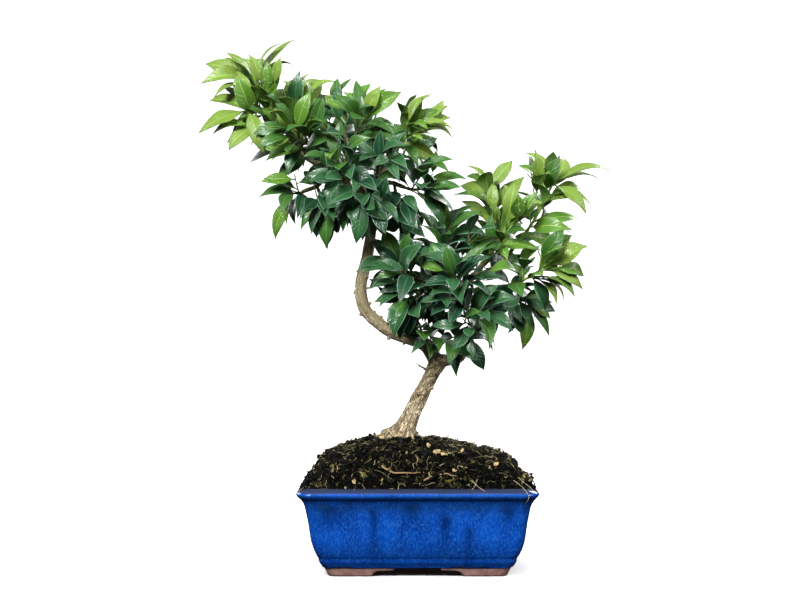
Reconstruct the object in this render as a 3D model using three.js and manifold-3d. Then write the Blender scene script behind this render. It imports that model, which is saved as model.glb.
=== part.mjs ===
// A myrtle-leaf orange grown as a bonsai, in a glazed rectangular pot.
// Millimetres, +Z up, and the front faces -Y. The sizes below are measured from the middle of the pot;
// the finished group is moved so that its origin is under the middle of the whole plant.
import * as THREE from "three";
import { mergeVertices } from "three/addons/utils/BufferGeometryUtils.js";
import Module from "manifold-3d";

const wasm = await Module();
wasm.setup();

const GAP = 0.3; // clear space that neighbouring solids keep

// Pot: half sizes at the rim, and its walls as [inset from the rim, height].
const RIM_HALF = [100.5, 75.5];
const CORNER = { rim: 13, least: 7, shrink: 0.4, steps: 4 };
const FOOT_HEIGHT = 8;
const FLOOR_TOP = 15;
const POT_OUTSIDE = [
  [21, FOOT_HEIGHT], [18.3, 12.3], [17.6, 15.8], [16.3, 17.9], [13.6, 24], [11.3, 32], [9.6, 44],
  [7.6, 55], [6.4, 60], [4.6, 64], [1.8, 67.4], [0.2, 69.4], [0, 71.2], [2, 73.2], [5.5, 74.8],
];
const POT_INSIDE = [[8.5, 75.2], [10.5, 73.5], [13.5, 62], [17.5, 44], [21, 27], [28, FLOOR_TOP]];
const FOOT = { topInset: 21.8, bottomInset: 25.4, width: 12 };
// Half widths of the arch between two feet: at the top, at the step, and at the ground. The cut runs
// past the feet above and below, and the arches at the sides are a share of the front one.
const ARCH = {
  top: 17, stepHeight: 4.2, stepRise: 1, stepInner: 20, stepOuter: 35, foot: 39, sideShare: 0.62, past: 1,
};
const DRAIN_HOLE = { radius: 6.5, sides: 16, offset: 38 };

// Soil heap
const SOIL_EDGE = 74;
const SOIL_TOP = 112;
// The flat top's middle and half sizes, and how round the heap's outline is at the rim and at the top.
const HEAP = { middle: [-14.5, 0], half: [24, 20], roundness: [0.3, 0.95], lump: 1.2, lumpSize: [7, 6] };
// Steep sides and a broad back: the share of the way in from the rim, and the share of the height.
const HEAP_PROFILE = [
  [0.04, 0.3], [0.11, 0.5], [0.22, 0.62], [0.41, 0.76], [0.61, 0.87], [0.82, 0.95], [1, 1],
];

// Wood: [x, y, z] along each limb, with the radii spread evenly from its foot to its tip. A limb leaves
// another at a share of its length, and has some sides and some rings between two points.
const BOUGH_SIDES = 5;
const BOUGH_STEPS = 2;
const TRUNK = {
  path: [[-13.5, 0, SOIL_TOP], [-7, 0, 127], [0.5, 1, 143], [8.5, 1, 159], [14, 0, 169], [19.5, 0, 180]],
  radii: [9.6, 7.6, 6.9, 6.2, 6.6, 8], sides: 12, steps: 2,
};
// The foot swells evenly and in lobes, dying away over a height, and one root runs out to the left.
const FLARE = { swell: 2.6, height: 7, lobes: 0.35, lobeCount: 3, root: 12, rootHeight: 5, rootPower: 6 };
const LEADER_LOWER = {
  on: "trunk", at: 0.94,
  path: [[8, -2, 191], [-2, -4, 196], [-14, -6, 200], [-25, -7, 205], [-34.5, -8, 212], [-43, -8, 220],
    [-47.5, -8, 230], [-49, -7, 241]],
  radii: [6.6, 5.6, 5.2, 5.2, 5.1, 5.1, 5.1, 5, 5], sides: 10, steps: 1,
};
const LEADER_UPPER = {
  on: "leader_lower", at: 1,
  path: [[-46.5, -6, 255], [-43, -4, 269], [-40.5, -2, 285], [-39.5, 0, 300], [-42.5, 1, 313]],
  radii: [4.9, 4.9, 4.8, 4.5, 4.4, 4], sides: 9, steps: 1,
};
const BOUGHS = {
  bough_right: { on: "trunk", at: 0.97, radii: [4.4, 3.6, 3.2, 3.1, 3, 2.8, 2.6], sides: 8, steps: 1,
    path: [[36, 0, 180], [40.5, -1, 188], [38, -2, 197], [33.5, -3, 206], [31, -3, 216], [33, -2, 229]] },
  bough_top_left: { on: "leader_upper", at: 1, radii: [3.4, 3.2, 2.9, 2.5, 2],
    path: [[-57, -2, 327], [-77, -6, 343], [-95, -9, 354], [-108, -11, 364]] },
  bough_top_right: { on: "leader_upper", at: 0.97, radii: [2.8, 2.3, 1.9],
    path: [[-34, -2, 339], [-22, -5, 361]] },
  bough_top_back: { on: "leader_upper", at: 0.93, radii: [2.8, 2.3, 1.9],
    path: [[-50, 20, 337], [-60, 42, 361]] },
  bough_front: { on: "leader_upper", at: 0.9, radii: [2.2, 1.9, 1.7],
    path: [[-45, -18, 321], [-49, -32, 329]] },
  bough_left_low: { on: "bough_top_left", at: 0.5, radii: [2, 1.8, 1.6],
    path: [[-85, -11, 330], [-97, -18, 324]] },
  bough_top_middle: { on: "bough_top_left", at: 0.3, radii: [2.3, 2, 1.8],
    path: [[-58, -4, 348], [-61, -8, 371]] },
  bough_shoulder: { on: "bough_top_right", at: 0.25, radii: [2.1, 1.9, 1.7],
    path: [[-25, -10, 332], [-12, -16, 328]] },
  bough_back_right: { on: "bough_top_right", at: 0.5, radii: [2, 1.8, 1.6],
    path: [[-24, 20, 349], [-17, 36, 356]] },
  bough_back_low: { on: "leader_upper", at: 0.75, radii: [2.2, 2, 1.7],
    path: [[-50, 20, 312], [-57, 36, 322]] },
  bough_right_high: { on: "bough_right", at: 1, radii: [2.5, 2.3, 1.9],
    path: [[46, 0, 248], [63, 2, 270]] },
  bough_right_far: { on: "bough_right_high", at: 0.55, radii: [1.9, 1.8, 1.6],
    path: [[72, -5, 262], [85, -8, 279]] },
  bough_right_side: { on: "bough_right", at: 0.93, radii: [2.3, 2, 1.7],
    path: [[54, -8, 236], [74, -15, 243]] },
  bough_right_front: { on: "bough_right", at: 0.78, radii: [2, 1.8, 1.6],
    path: [[33, -14, 217], [37, -26, 218]] },
  bough_inner: { on: "bough_right", at: 0.96, radii: [2.2, 2, 1.7],
    path: [[20, -7, 242], [8, -13, 249]] },
  bough_right_back: { on: "bough_right", at: 0.88, radii: [2.3, 2, 1.8],
    path: [[42, 17, 240], [50, 33, 254]] },
};

// Foliage: a stem from a limb to its tip, and how far the leaves reach from it.
// droop pulls the leaves down, and each mass grows its twigs and leaves from its own seed.
const MASSES = {
  top_left_tip: { on: "bough_top_left", at: 1, tip: [-141, -13, 425], reach: 38, twigs: 4,
    droop: 0, seed: 11,
    ends: [[-107, -8, 458], [-121, -26, 452], [-182, -10, 437], [-182, -30, 420], [-172, -36, 407]] },
  top_left_low: { on: "bough_top_left", at: 0.88, tip: [-147, -28, 395], reach: 40, twigs: 3,
    droop: 0, seed: 12, ends: [[-186, -34, 375], [-180, -12, 403], [-131, -44, 357]] },
  top_left_crest: { on: "bough_top_left", at: 0.85, tip: [-103, -4, 407], reach: 32, twigs: 2,
    droop: 0, seed: 42, ends: [[-116, 0, 422], [-95, -14, 426], [-72, -4, 423]] },
  top_left_front: { on: "bough_top_left", at: 0.72, tip: [-102, -46, 374], reach: 37, twigs: 3,
    droop: 0.1, seed: 13 },
  top_left_inner: { on: "bough_top_middle", at: 1, tip: [-72, 6, 394], reach: 36, twigs: 2,
    droop: 0.1, seed: 14, ends: [[-72, 10, 423]] },
  top_middle: { on: "bough_top_middle", at: 0.85, tip: [-44, -30, 388], reach: 38, twigs: 3,
    droop: 0.1, seed: 15, ends: [[-51, -24, 420], [-32, -34, 412]] },
  middle: { on: "bough_top_right", at: 0.45, tip: [-32, -38, 352], reach: 36, twigs: 2,
    droop: 0.1, seed: 44 },
  top_right: { on: "bough_top_right", at: 1, tip: [2, -20, 380], reach: 35, twigs: 3,
    droop: 0.1, seed: 16, ends: [[25, -20, 399], [30, -30, 375]] },
  shoulder: { on: "bough_shoulder", at: 1, tip: [7, -28, 326], reach: 37, twigs: 3,
    droop: 0.15, seed: 17, ends: [[32, -28, 341]] },
  shoulder_low: { on: "bough_shoulder", at: 0.7, tip: [-14, -22, 303], reach: 36, twigs: 2,
    droop: 0.3, seed: 18 },
  front: { on: "bough_front", at: 1, tip: [-46, -58, 313], reach: 37, twigs: 2,
    droop: 0.4, seed: 19, ends: [[-51, -62, 278]] },
  front_high: { on: "bough_front", at: 0.75, tip: [-68, -56, 350], reach: 37, twigs: 2,
    droop: 0.15, seed: 20 },
  left_low: { on: "bough_left_low", at: 1, tip: [-106, -24, 322], reach: 34, twigs: 2,
    droop: 0.9, seed: 21, ends: [[-125, -24, 285], [-113, -34, 297], [-121, -18, 338]] },
  left_under: { on: "bough_left_low", at: 0.55, tip: [-76, -36, 309], reach: 36, twigs: 2,
    droop: 0.5, seed: 22, ends: [[-76, -36, 275]] },
  back_left: { on: "bough_top_back", at: 0.8, tip: [-98, 52, 374], reach: 40, twigs: 3,
    droop: 0.15, seed: 23 },
  back_top: { on: "bough_top_back", at: 1, tip: [-56, 62, 391], reach: 40, twigs: 3,
    droop: 0.1, seed: 24 },
  back_right: { on: "bough_back_right", at: 1, tip: [-10, 56, 366], reach: 39, twigs: 3,
    droop: 0.15, seed: 25 },
  back_low: { on: "bough_back_low", at: 1, tip: [-44, 58, 322], reach: 39, twigs: 2,
    droop: 0.4, seed: 26 },
  right_top: { on: "bough_right_far", at: 1, tip: [118, -12, 335], reach: 37, twigs: 3,
    droop: 0.2, seed: 27, ends: [[162, -18, 351], [157, -4, 340], [95, -10, 360], [146, -24, 309]] },
  right_crest: { on: "bough_right_high", at: 1, tip: [62, 6, 331], reach: 34, twigs: 2,
    droop: 0, seed: 28, ends: [[83, 8, 353], [46, 4, 350]] },
  right_middle: { on: "bough_right_high", at: 0.8, tip: [84, -22, 306], reach: 34, twigs: 2,
    droop: 0, seed: 29 },
  right_side: { on: "bough_right_side", at: 1, tip: [112, -25, 262], reach: 36, twigs: 3,
    droop: 0.2, seed: 30, ends: [[144, -26, 280], [142, -30, 244], [138, -10, 264]] },
  right_low: { on: "bough_right_side", at: 0.75, tip: [96, 2, 230], reach: 33, twigs: 2,
    droop: 0.35, seed: 31, ends: [[118, 4, 201], [94, 0, 188]] },
  right_foot: { on: "bough_right_front", at: 1, tip: [50, -42, 218], reach: 37, twigs: 2,
    droop: 0.3, seed: 32 },
  right_front: { on: "bough_right_front", at: 0.75, tip: [34, -56, 256], reach: 39, twigs: 3,
    droop: 0.3, seed: 33 },
  inner_low: { on: "bough_inner", at: 0.75, tip: [-8, -38, 232], reach: 38, twigs: 3,
    droop: 0.3, seed: 34, ends: [[-37, -34, 231], [-25, -50, 213]] },
  inner_left: { on: "bough_inner", at: 1, tip: [-22, -20, 264], reach: 36, twigs: 2,
    droop: 0.2, seed: 35 },
  inner_front: { on: "bough_inner", at: 0.9, tip: [-14, -54, 256], reach: 36, twigs: 2,
    droop: 0.3, seed: 45 },
  inner_crest: { on: "bough_inner", at: 0.5, tip: [28, -14, 298], reach: 34, twigs: 3,
    droop: 0.1, seed: 36 },
  inner_top: { on: "bough_right_high", at: 0.3, tip: [44, -30, 290], reach: 32, twigs: 2,
    droop: 0.1, seed: 43 },
  right_back: { on: "bough_right_back", at: 1, tip: [78, 50, 278], reach: 40, twigs: 3,
    droop: 0.15, seed: 37 },
  right_back_low: { on: "bough_right_back", at: 0.8, tip: [58, 54, 228], reach: 37, twigs: 2,
    droop: 0.4, seed: 38 },
  inner_back: { on: "bough_right_back", at: 0.6, tip: [14, 46, 258], reach: 38, twigs: 2,
    droop: 0.2, seed: 39 },
  fork_sprout: { on: "leader_lower", at: 0.14, tip: [2, -26, 211], reach: 38, twigs: 2,
    droop: 0.3, seed: 40 },
  fork_leaves: { on: "bough_right", at: 0.45, tip: [33, -20, 200], reach: 34, twigs: 2,
    droop: 0.6, seed: 41 },
};

// A stem sags by a share of its length. bareShare of it, from its foot, has no leaves.
const STEM = { radii: [1.5, 1.2, 0.9], sides: 3, steps: 3, bareShare: 0.2, bow: 0.45, sag: 0.12 };
// Twigs stand on the stem between two shares of it. Their length is a share of the mass's reach, longest
// near the stem's foot, and they open from the stem by an angle in radians and lift at the tip.
const TWIG = {
  radii: [0.85, 0.6], sides: 3, steps: 1, from: 0.3, to: 0.92, jitter: 0.06, length: 0.5, least: 0.85,
  spread: 0.3, footShare: 1.1, tipLoss: 0.35, turn: 0.8, open: 0.95, lift: 0.25, tipLift: 0.4,
  bareShare: 0.2,
};
// Leaves: length in mm, width, thickness and arch as shares of it, and step between leaves in mm. They open
// from the shoot by openFoot radians at its foot and openTip at its tip. A leaf gets some tries, each one
// turned and made smaller, and its root may lie inside the wood. No leaf stands past the share called last.
const LEAF = {
  length: 42, spread: 0.34, footSize: 1.05, tipSize: 0.85, width: 0.39, widthSpread: 0.2, thickness: 0.022,
  arch: 0.07, step: 9, least: 3, crowding: 0.75, last: 0.95, openFoot: 1.25, openTip: 0.55, openSpread: 0.4,
  turnSpread: 0.5, tries: 4, turn: 1.3, shrink: 0.93, rootShare: 0.08, outerStep: 0.06,
};
// The leaf's outline: shares of its length where it is widest, where it narrows, and where it is thickest.
const BLADE = { widest: 0.4, narrowing: 0.7, narrowShare: 0.76, thickest: 0.5 };
// Leaves turn their upper faces to the light, and a little outwards and at random.
const LIGHT = new THREE.Vector3(0, -0.7, 0.6);
const FACING = { outward: 0.4, wobble: 0.7 };
const CUBE = 12; // side of the cubes of space that sort the faces
const GOLDEN_ANGLE = Math.PI * (3 - Math.sqrt(5));

const vec = (p) => new THREE.Vector3(...p);
const lerp = THREE.MathUtils.lerp;

// Numbers from 0 to 1 that are the same on every run.
function seeded(seed) {
  let state = seed * 7919;
  const next = () => {
    state = (Math.imul(state, 1664525) + 1013904223) >>> 0;
    return state / 4294967296;
  };
  next();
  next();
  return next;
}

// A value from a list spread evenly over 0 to 1.
function along(list, t) {
  const place = t * (list.length - 1);
  const i = Math.min(Math.floor(place), list.length - 2);
  return lerp(list[i], list[i + 1], place - i);
}

function solid(geometry) {
  const merged = mergeVertices(geometry.clone().deleteAttribute("normal").deleteAttribute("uv"), 1e-4);
  const vertProperties = new Float32Array(merged.attributes.position.array);
  const triVerts = new Uint32Array(merged.index.array);
  return new wasm.Manifold(new wasm.Mesh({ numProp: 3, vertProperties, triVerts }));
}

function geometryOf(made) {
  const mesh = made.getMesh();
  const geometry = new THREE.BufferGeometry();
  geometry.setAttribute("position", new THREE.BufferAttribute(new Float32Array(mesh.vertProperties), 3));
  geometry.setIndex(new THREE.BufferAttribute(new Uint32Array(mesh.triVerts), 1));
  geometry.computeVertexNormals();
  return geometry;
}

// The largest piece of a solid: loose scraps and the skins of sealed hollows are left out.
function largest(made) {
  const pieces = made.decompose();
  return pieces.reduce((a, b) => (b.volume() > a.volume() ? b : a));
}

function indexed(points, faces) {
  const geometry = new THREE.BufferGeometry().setFromPoints(points);
  geometry.setIndex(faces.flat());
  return geometry;
}

// A closed skin over rings of points, with a flat cap on the first and the last ring.
function loft(rings) {
  const count = rings[0].length;
  const faces = [];
  for (let k = 0; k + 1 < rings.length; k++) {
    for (let i = 0; i < count; i++) {
      const j = (i + 1) % count;
      const [a, b] = [k * count + i, k * count + j];
      faces.push([a, b, b + count], [a, b + count, a + count]);
    }
  }
  const last = (rings.length - 1) * count;
  for (let i = 1; i + 1 < count; i++) {
    faces.push([0, i + 1, i], [last, last + i, last + i + 1]);
  }
  return indexed(rings.flat(), faces);
}

function roundedRectangle(half, radius, z, middle = [0, 0]) {
  const points = [];
  const corners = [[1, 1], [-1, 1], [-1, -1], [1, -1]];
  corners.forEach(([sx, sy], corner) => {
    for (let i = 0; i < CORNER.steps; i++) {
      const angle = (corner + i / (CORNER.steps - 1)) * (Math.PI / 2);
      const x = sx * (half[0] - radius) + radius * Math.cos(angle);
      const y = sy * (half[1] - radius) + radius * Math.sin(angle);
      points.push(new THREE.Vector3(middle[0] + x, middle[1] + y, z));
    }
  });
  return points;
}

function potRing([inset, z]) {
  const radius = Math.max(CORNER.least, CORNER.rim - CORNER.shrink * inset);
  return roundedRectangle([RIM_HALF[0] - inset, RIM_HALF[1] - inset], radius, z);
}

function makePot() {
  const shell = solid(loft([...POT_OUTSIDE, ...POT_INSIDE].map(potRing)));
  const { radius, sides, offset } = DRAIN_HOLE;
  const holes = [-1, 1].map((side) => {
    const hole = new THREE.CylinderGeometry(radius, radius, 2 * FLOOR_TOP, sides);
    return solid(hole.rotateX(Math.PI / 2).translate(side * offset, 0, FLOOR_TOP));
  });
  return holes.reduce((pot, hole) => pot.subtract(hole), shell);
}

// The outline of the arch between two feet, pushed through the foot ring.
function archCut(share, turned) {
  const half = [
    [ARCH.foot, -ARCH.past],
    [ARCH.foot, 0],
    [ARCH.stepOuter, ARCH.stepHeight],
    [ARCH.stepInner, ARCH.stepHeight + ARCH.stepRise],
    [ARCH.top, FOOT_HEIGHT + ARCH.past],
  ];
  const outline = [...half, ...half.map(([x, z]) => [-x, z]).reverse()];
  const shape = new THREE.Shape(outline.map(([x, z]) => new THREE.Vector2(x * share, z)));
  const depth = 3 * RIM_HALF[0];
  const cut = new THREE.ExtrudeGeometry(shape, { depth, bevelEnabled: false });
  cut.rotateX(Math.PI / 2).translate(0, depth / 2, 0);
  if (turned) cut.rotateZ(Math.PI / 2);
  return solid(cut);
}

function makeFeet() {
  const ring = (extra) => [
    potRing([FOOT.bottomInset + extra, 0]),
    potRing([FOOT.topInset + extra, FOOT_HEIGHT]),
  ];
  const inside = loft(ring(FOOT.width)).translate(0, 0, -1).scale(1, 1, 2);
  const feet = solid(loft(ring(0))).subtract(solid(inside));
  const parted = feet.subtract(archCut(1, false)).subtract(archCut(ARCH.sideShare, true));
  return parted.decompose();
}

// The soil fills the pot from its floor and rises to a flat top that the trunk stands on.
function makeSoil() {
  const inPot = POT_INSIDE.slice(1).reverse();
  const rings = inPot.map(([inset, z], k) => potRing([inset + GAP, k === 0 ? z : z + GAP]));
  const halfEdge = RIM_HALF.map((h) => h - POT_INSIDE[1][0] - GAP);
  HEAP_PROFILE.forEach(([inward, rise], k) => {
    const half = halfEdge.map((h, axis) => lerp(h, HEAP.half[axis], inward));
    const middle = HEAP.middle.map((m) => m * inward);
    const corner = half[1] * lerp(...HEAP.roundness, Math.sqrt(inward));
    const ring = roundedRectangle(half, corner, lerp(SOIL_EDGE, SOIL_TOP, rise), middle);
    const lump = k > 0 && k < HEAP_PROFILE.length - 1 ? HEAP.lump : 0;
    for (const p of ring) {
      p.z += lump * Math.sin(p.x / HEAP.lumpSize[0] + 1) * Math.sin(p.y / HEAP.lumpSize[1] + k);
    }
    rings.push(ring);
  });
  return solid(loft(rings));
}

// Rings round a curve that don't twist, with the radius from radiusAt(t, direction, height).
function tubeRings(pointAt, radiusAt, sides, steps) {
  const points = Array.from({ length: steps + 1 }, (_, i) => pointAt(i / steps));
  const rings = [];
  let across = null;
  for (let i = 0; i <= steps; i++) {
    const tangent = points[Math.min(i + 1, steps)].clone().sub(points[Math.max(i - 1, 0)]).normalize();
    if (!across) across = new THREE.Vector3(0, 1, 0).cross(tangent);
    across.addScaledVector(tangent, -across.dot(tangent)).normalize();
    const other = tangent.clone().cross(across);
    const ring = [];
    for (let s = 0; s < sides; s++) {
      const angle = (s / sides) * 2 * Math.PI;
      const out = across.clone().multiplyScalar(Math.cos(angle)).addScaledVector(other, Math.sin(angle));
      ring.push(points[i].clone().addScaledVector(out, radiusAt(i / steps, out, points[i])));
    }
    rings.push({ ring, tangent });
  }
  return rings;
}

// The trunk swells to its roots just above the soil, most of all on the left.
function trunkRadius(t, out, point) {
  const height = point.z - SOIL_TOP;
  const lobes = 1 + FLARE.lobes * Math.cos(FLARE.lobeCount * Math.atan2(out.y, out.x));
  const leftward = Math.pow(Math.max(0, -out.x), FLARE.rootPower);
  const root = FLARE.root * Math.exp(-height / FLARE.rootHeight) * leftward;
  return along(TRUNK.radii, t) + FLARE.swell * Math.exp(-height / FLARE.height) * lobes + root;
}

function makeLimb(points, radii, sides, stepsEach, isTrunk) {
  const curve = new THREE.CatmullRomCurve3(points, false, "catmullrom", 0.5);
  const steps = stepsEach * (points.length - 1);
  const make = (extra) => {
    const ends = [curve.getTangent(0), curve.getTangent(1)];
    const place = (t) => {
      const p = curve.getPoint(t);
      if (t === 0) p.addScaledVector(ends[0], -extra);
      if (t === 1) p.addScaledVector(ends[1], extra);
      return p;
    };
    const radiusAt = (t, out, point) => (isTrunk ? trunkRadius(t, out, point) : along(radii, t)) + extra;
    const rings = tubeRings(place, radiusAt, sides, steps);
    // The trunk's foot is cut flat at the soil.
    if (isTrunk && extra === 0) {
      const { ring, tangent } = rings[0];
      ring.forEach((p) => p.addScaledVector(tangent, (SOIL_TOP - p.z) / tangent.z).setZ(SOIL_TOP));
    }
    return loft(rings.map((r) => r.ring));
  };
  return { curve, radii, geometry: make(0), keepOut: make(GAP) };
}

const limbs = {};

// A limb grows out of its parent's middle, and its foot is cut clear of every limb before it.
function addLimb(name, { on, at, path, radii, sides = BOUGH_SIDES, steps = BOUGH_STEPS }) {
  const points = path.map(vec);
  if (on) points.unshift(limbs[on].curve.getPoint(at));
  const limb = makeLimb(points, radii, sides, steps, name === "trunk");
  const others = Object.values(limbs).map((other) => solid(other.keepOut));
  limb.solid = largest(others.reduce((made, other) => made.subtract(other), solid(limb.geometry)));
  limbs[name] = limb;
}

// The faces that new growth has to stay clear of, sorted into cubes of space so that few are tried.
class Crowd {
  constructor(cube) {
    this.cube = cube;
    this.cells = new Map();
  }
  keys(face) {
    const box = new THREE.Box3().setFromPoints(face);
    const low = box.min.divideScalar(this.cube).floor();
    const high = box.max.divideScalar(this.cube).floor();
    const found = [];
    for (let x = low.x; x <= high.x; x++) {
      for (let y = low.y; y <= high.y; y++) {
        for (let z = low.z; z <= high.z; z++) found.push([x, y, z].join());
      }
    }
    return found;
  }

  add(faces, tag) {
    for (const face of faces) {
      for (const key of this.keys(face)) {
        if (!this.cells.has(key)) this.cells.set(key, []);
        this.cells.get(key).push({ face, tag });
      }
    }
  }

  touches(faces, ignores) {
    const meets = (face, key) =>
      (this.cells.get(key) || []).some((other) => !ignores(other.tag) && facesCross(face, other.face));
    return faces.some((face) => this.keys(face).some((key) => meets(face, key)));
  }
}

// Two triangles cross where an edge of one cuts the other. Far ones are passed over by their spheres.
function facesCross(a, b) {
  const [middleA, middleB] = [a, b].map((f) => f[0].clone().add(f[1]).add(f[2]).divideScalar(3));
  const radiusOf = (face, middle) => Math.max(...face.map((p) => p.distanceTo(middle)));
  if (middleA.distanceTo(middleB) > radiusOf(a, middleA) + radiusOf(b, middleB)) return false;
  const cuts = (one, other) => one.some((corner, i) => edgeCuts(corner, one[(i + 1) % 3], other));
  return cuts(a, b) || cuts(b, a);
}

// Whether the line from one point to another passes through a triangle, by its barycentric weights.
function edgeCuts(from, to, [a, b, c]) {
  const edge = to.clone().sub(from);
  const [ab, ac] = [b.clone().sub(a), c.clone().sub(a)];
  const p = edge.clone().cross(ac);
  const det = ab.dot(p);
  if (Math.abs(det) < 1e-9) return false;
  const s = from.clone().sub(a);
  const u = s.dot(p) / det;
  if (u < 0 || u > 1) return false;
  const q = s.cross(ab);
  const v = edge.dot(q) / det;
  if (v < 0 || u + v > 1) return false;
  const t = ac.dot(q) / det;
  return t >= 0 && t <= 1;
}

function facesOf(geometry) {
  const position = geometry.attributes.position;
  const index = geometry.index.array;
  const faces = [];
  for (let i = 0; i < index.length; i += 3) {
    faces.push([0, 1, 2].map((k) => new THREE.Vector3().fromBufferAttribute(position, index[i + k])));
  }
  return faces;
}

// A thin blade that arches over: six outline points, flat across the top, and a point below its
// middle. grow swells it all round, and from leaves out that share of it at the foot.
function leafGeometry({ foot, forward, up, length, width }, grow = 0, from = 0) {
  const side = forward.clone().cross(up);
  const at = (share, across, rise) => {
    const middle = foot.clone().addScaledVector(forward, share * length);
    return middle.addScaledVector(side, across).addScaledVector(up, rise);
  };
  const half = width / 2 + grow;
  const arch = LEAF.arch * length;
  const points = [
    at(from - grow / length, 0, 0),
    at(BLADE.widest, half, arch + grow),
    at(BLADE.narrowing, BLADE.narrowShare * half, arch + grow),
    at(1 + grow / length, 0, 0),
    at(BLADE.narrowing, -BLADE.narrowShare * half, arch + grow),
    at(BLADE.widest, -half, arch + grow),
    at(BLADE.thickest, 0, arch - LEAF.thickness * length - grow),
  ];
  const under = [0, 1, 2, 3, 4, 5].map((i) => [(i + 1) % 6, i, 6]);
  return indexed(points, [[0, 1, 5], [1, 2, 5], [2, 4, 5], [2, 3, 4], ...under]);
}

function bezier(a, b, c) {
  return new THREE.QuadraticBezierCurve3(a, b, c);
}

// Two directions square to an axis.
function squareTo(axis) {
  const level = Math.abs(axis.z) > 0.9 ? new THREE.Vector3(1, 0, 0) : new THREE.Vector3(0, 0, 1);
  const u = axis.clone().cross(level).normalize();
  return [u, axis.clone().cross(u)];
}

function aimed(axis, open, azimuth) {
  const [u, v] = squareTo(axis);
  const side = u.multiplyScalar(Math.cos(azimuth)).addScaledVector(v, Math.sin(azimuth));
  return axis.clone().multiplyScalar(Math.cos(open)).addScaledVector(side, Math.sin(open));
}

function shootGeometry(curve, { radii, sides, steps }) {
  const rings = tubeRings((t) => curve.getPoint(t), (t) => along(radii, t), sides, steps);
  return loft(rings.map((r) => r.ring));
}

function distanceToStem(point, stem) {
  const samples = stem.getPoints(STEM.steps);
  const distances = samples.slice(1).map((end, i) => {
    const nearest = new THREE.Line3(samples[i], end).closestPointToPoint(point, true, new THREE.Vector3());
    return nearest.distanceTo(point);
  });
  return Math.min(...distances);
}

// The stem leaves its bough along the bough's own direction where it starts at the tip.
function growStem(mass) {
  const limb = limbs[mass.on];
  const foot = limb.curve.getPoint(mass.at);
  const tip = vec(mass.tip);
  const length = foot.distanceTo(tip);
  const straight = tip.clone().sub(foot).normalize();
  const heading = mass.at === 1 ? limb.curve.getTangent(1).add(straight).normalize() : straight;
  const bend = foot.clone().addScaledVector(heading, STEM.bow * length);
  bend.z -= STEM.sag * length;
  mass.stem = bezier(foot, bend, tip);
  mass.random = seeded(mass.seed);
  mass.shoots = [{ id: 0, curve: mass.stem, length, from: STEM.bareShare }];
}

// Twigs turn round the stem by the golden angle. One that would touch another mass or a limb is left out.
function growTwigs(mass, crowd) {
  const { random, stem } = mass;
  for (let k = 0; k < mass.twigs; k++) {
    const t = lerp(TWIG.from, TWIG.to, (k + 0.5) / mass.twigs) + TWIG.jitter * (random() - 0.5);
    const azimuth = k * GOLDEN_ANGLE + TWIG.turn * random() + mass.seed;
    const size = (TWIG.least + TWIG.spread * random()) * (TWIG.footShare - TWIG.tipLoss * t);
    const length = mass.reach * TWIG.length * size;
    const foot = stem.getPoint(t);
    const heading = aimed(stem.getTangent(t), TWIG.open, azimuth);
    heading.z += TWIG.lift;
    heading.normalize();
    const bend = foot.clone().addScaledVector(heading, 0.5 * length);
    const tip = foot.clone().addScaledVector(heading, length);
    tip.z += TWIG.lift * TWIG.tipLift * length;
    const curve = bezier(foot, bend, tip);
    const geometry = shootGeometry(curve, TWIG);
    if (crowd.touches(facesOf(geometry), (tag) => tag.mass === mass && !tag.leaf)) continue;
    mass.shoots.push({ id: k + 1, curve, length, from: TWIG.bareShare, geometry });
    crowd.add(facesOf(geometry), { mass, shoot: k + 1 });
  }
}

// Which way a leaf on a shoot grows: open wide at the foot of the shoot and narrow at its tip.
function leafHeading(mass, shoot, place, azimuth, draw) {
  const open = lerp(LEAF.openFoot, LEAF.openTip, place) * (1 + LEAF.openSpread * (draw[0] - 0.5));
  const forward = aimed(shoot.curve.getTangent(place), open, azimuth + LEAF.turnSpread * draw[1]);
  forward.z -= mass.droop * (1 - 0.5 * place);
  return forward.normalize();
}

// A leaf that grows forward from its foot and turns its face to the light and outwards.
function leafAt(mass, shoot, foot, forward, length, draw) {
  const outward = foot.clone().sub(mass.stem.getPoint(0.5)).normalize();
  const wobble = new THREE.Vector3(draw[2] - 0.5, draw[3] - 0.5, draw[4] - 0.5);
  const up = LIGHT.clone().addScaledVector(outward, FACING.outward).addScaledVector(wobble, FACING.wobble);
  up.addScaledVector(forward, -up.dot(forward)).normalize();
  const width = length * LEAF.width * (1 + LEAF.widthSpread * (draw[6] - 0.5));
  return { foot, forward, up, length, width, shoot: shoot.id };
}

function isWithinReach(leaf, mass) {
  const corners = facesOf(leafGeometry(leaf)).flat();
  return corners.every((point) => distanceToStem(point, mass.stem) <= mass.reach);
}

// Clear of everything outside its own mass, and beyond its root also of what is in it.
function isClear(leaf, mass, crowd) {
  if (crowd.touches(facesOf(leafGeometry(leaf, GAP)), (tag) => tag.mass === mass)) return false;
  const blade = facesOf(leafGeometry(leaf, 0, LEAF.rootShare));
  return !crowd.touches(blade, (tag) => tag.mass !== mass || (tag.shoot === leaf.shoot && !tag.leaf));
}

function keepFirstClear(tries, mass, crowd) {
  const leaf = tries.find((candidate) => isClear(candidate, mass, crowd));
  if (!leaf) return;
  mass.leaves.push(leaf);
  crowd.add(facesOf(leafGeometry(leaf)), { mass, shoot: leaf.shoot, leaf: true });
}

// Seven numbers for each try: opening, turn, three for the wobble, length and width.
function drawsFor(mass) {
  return Array.from({ length: LEAF.tries }, () => Array.from({ length: 7 }, mass.random));
}

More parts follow.
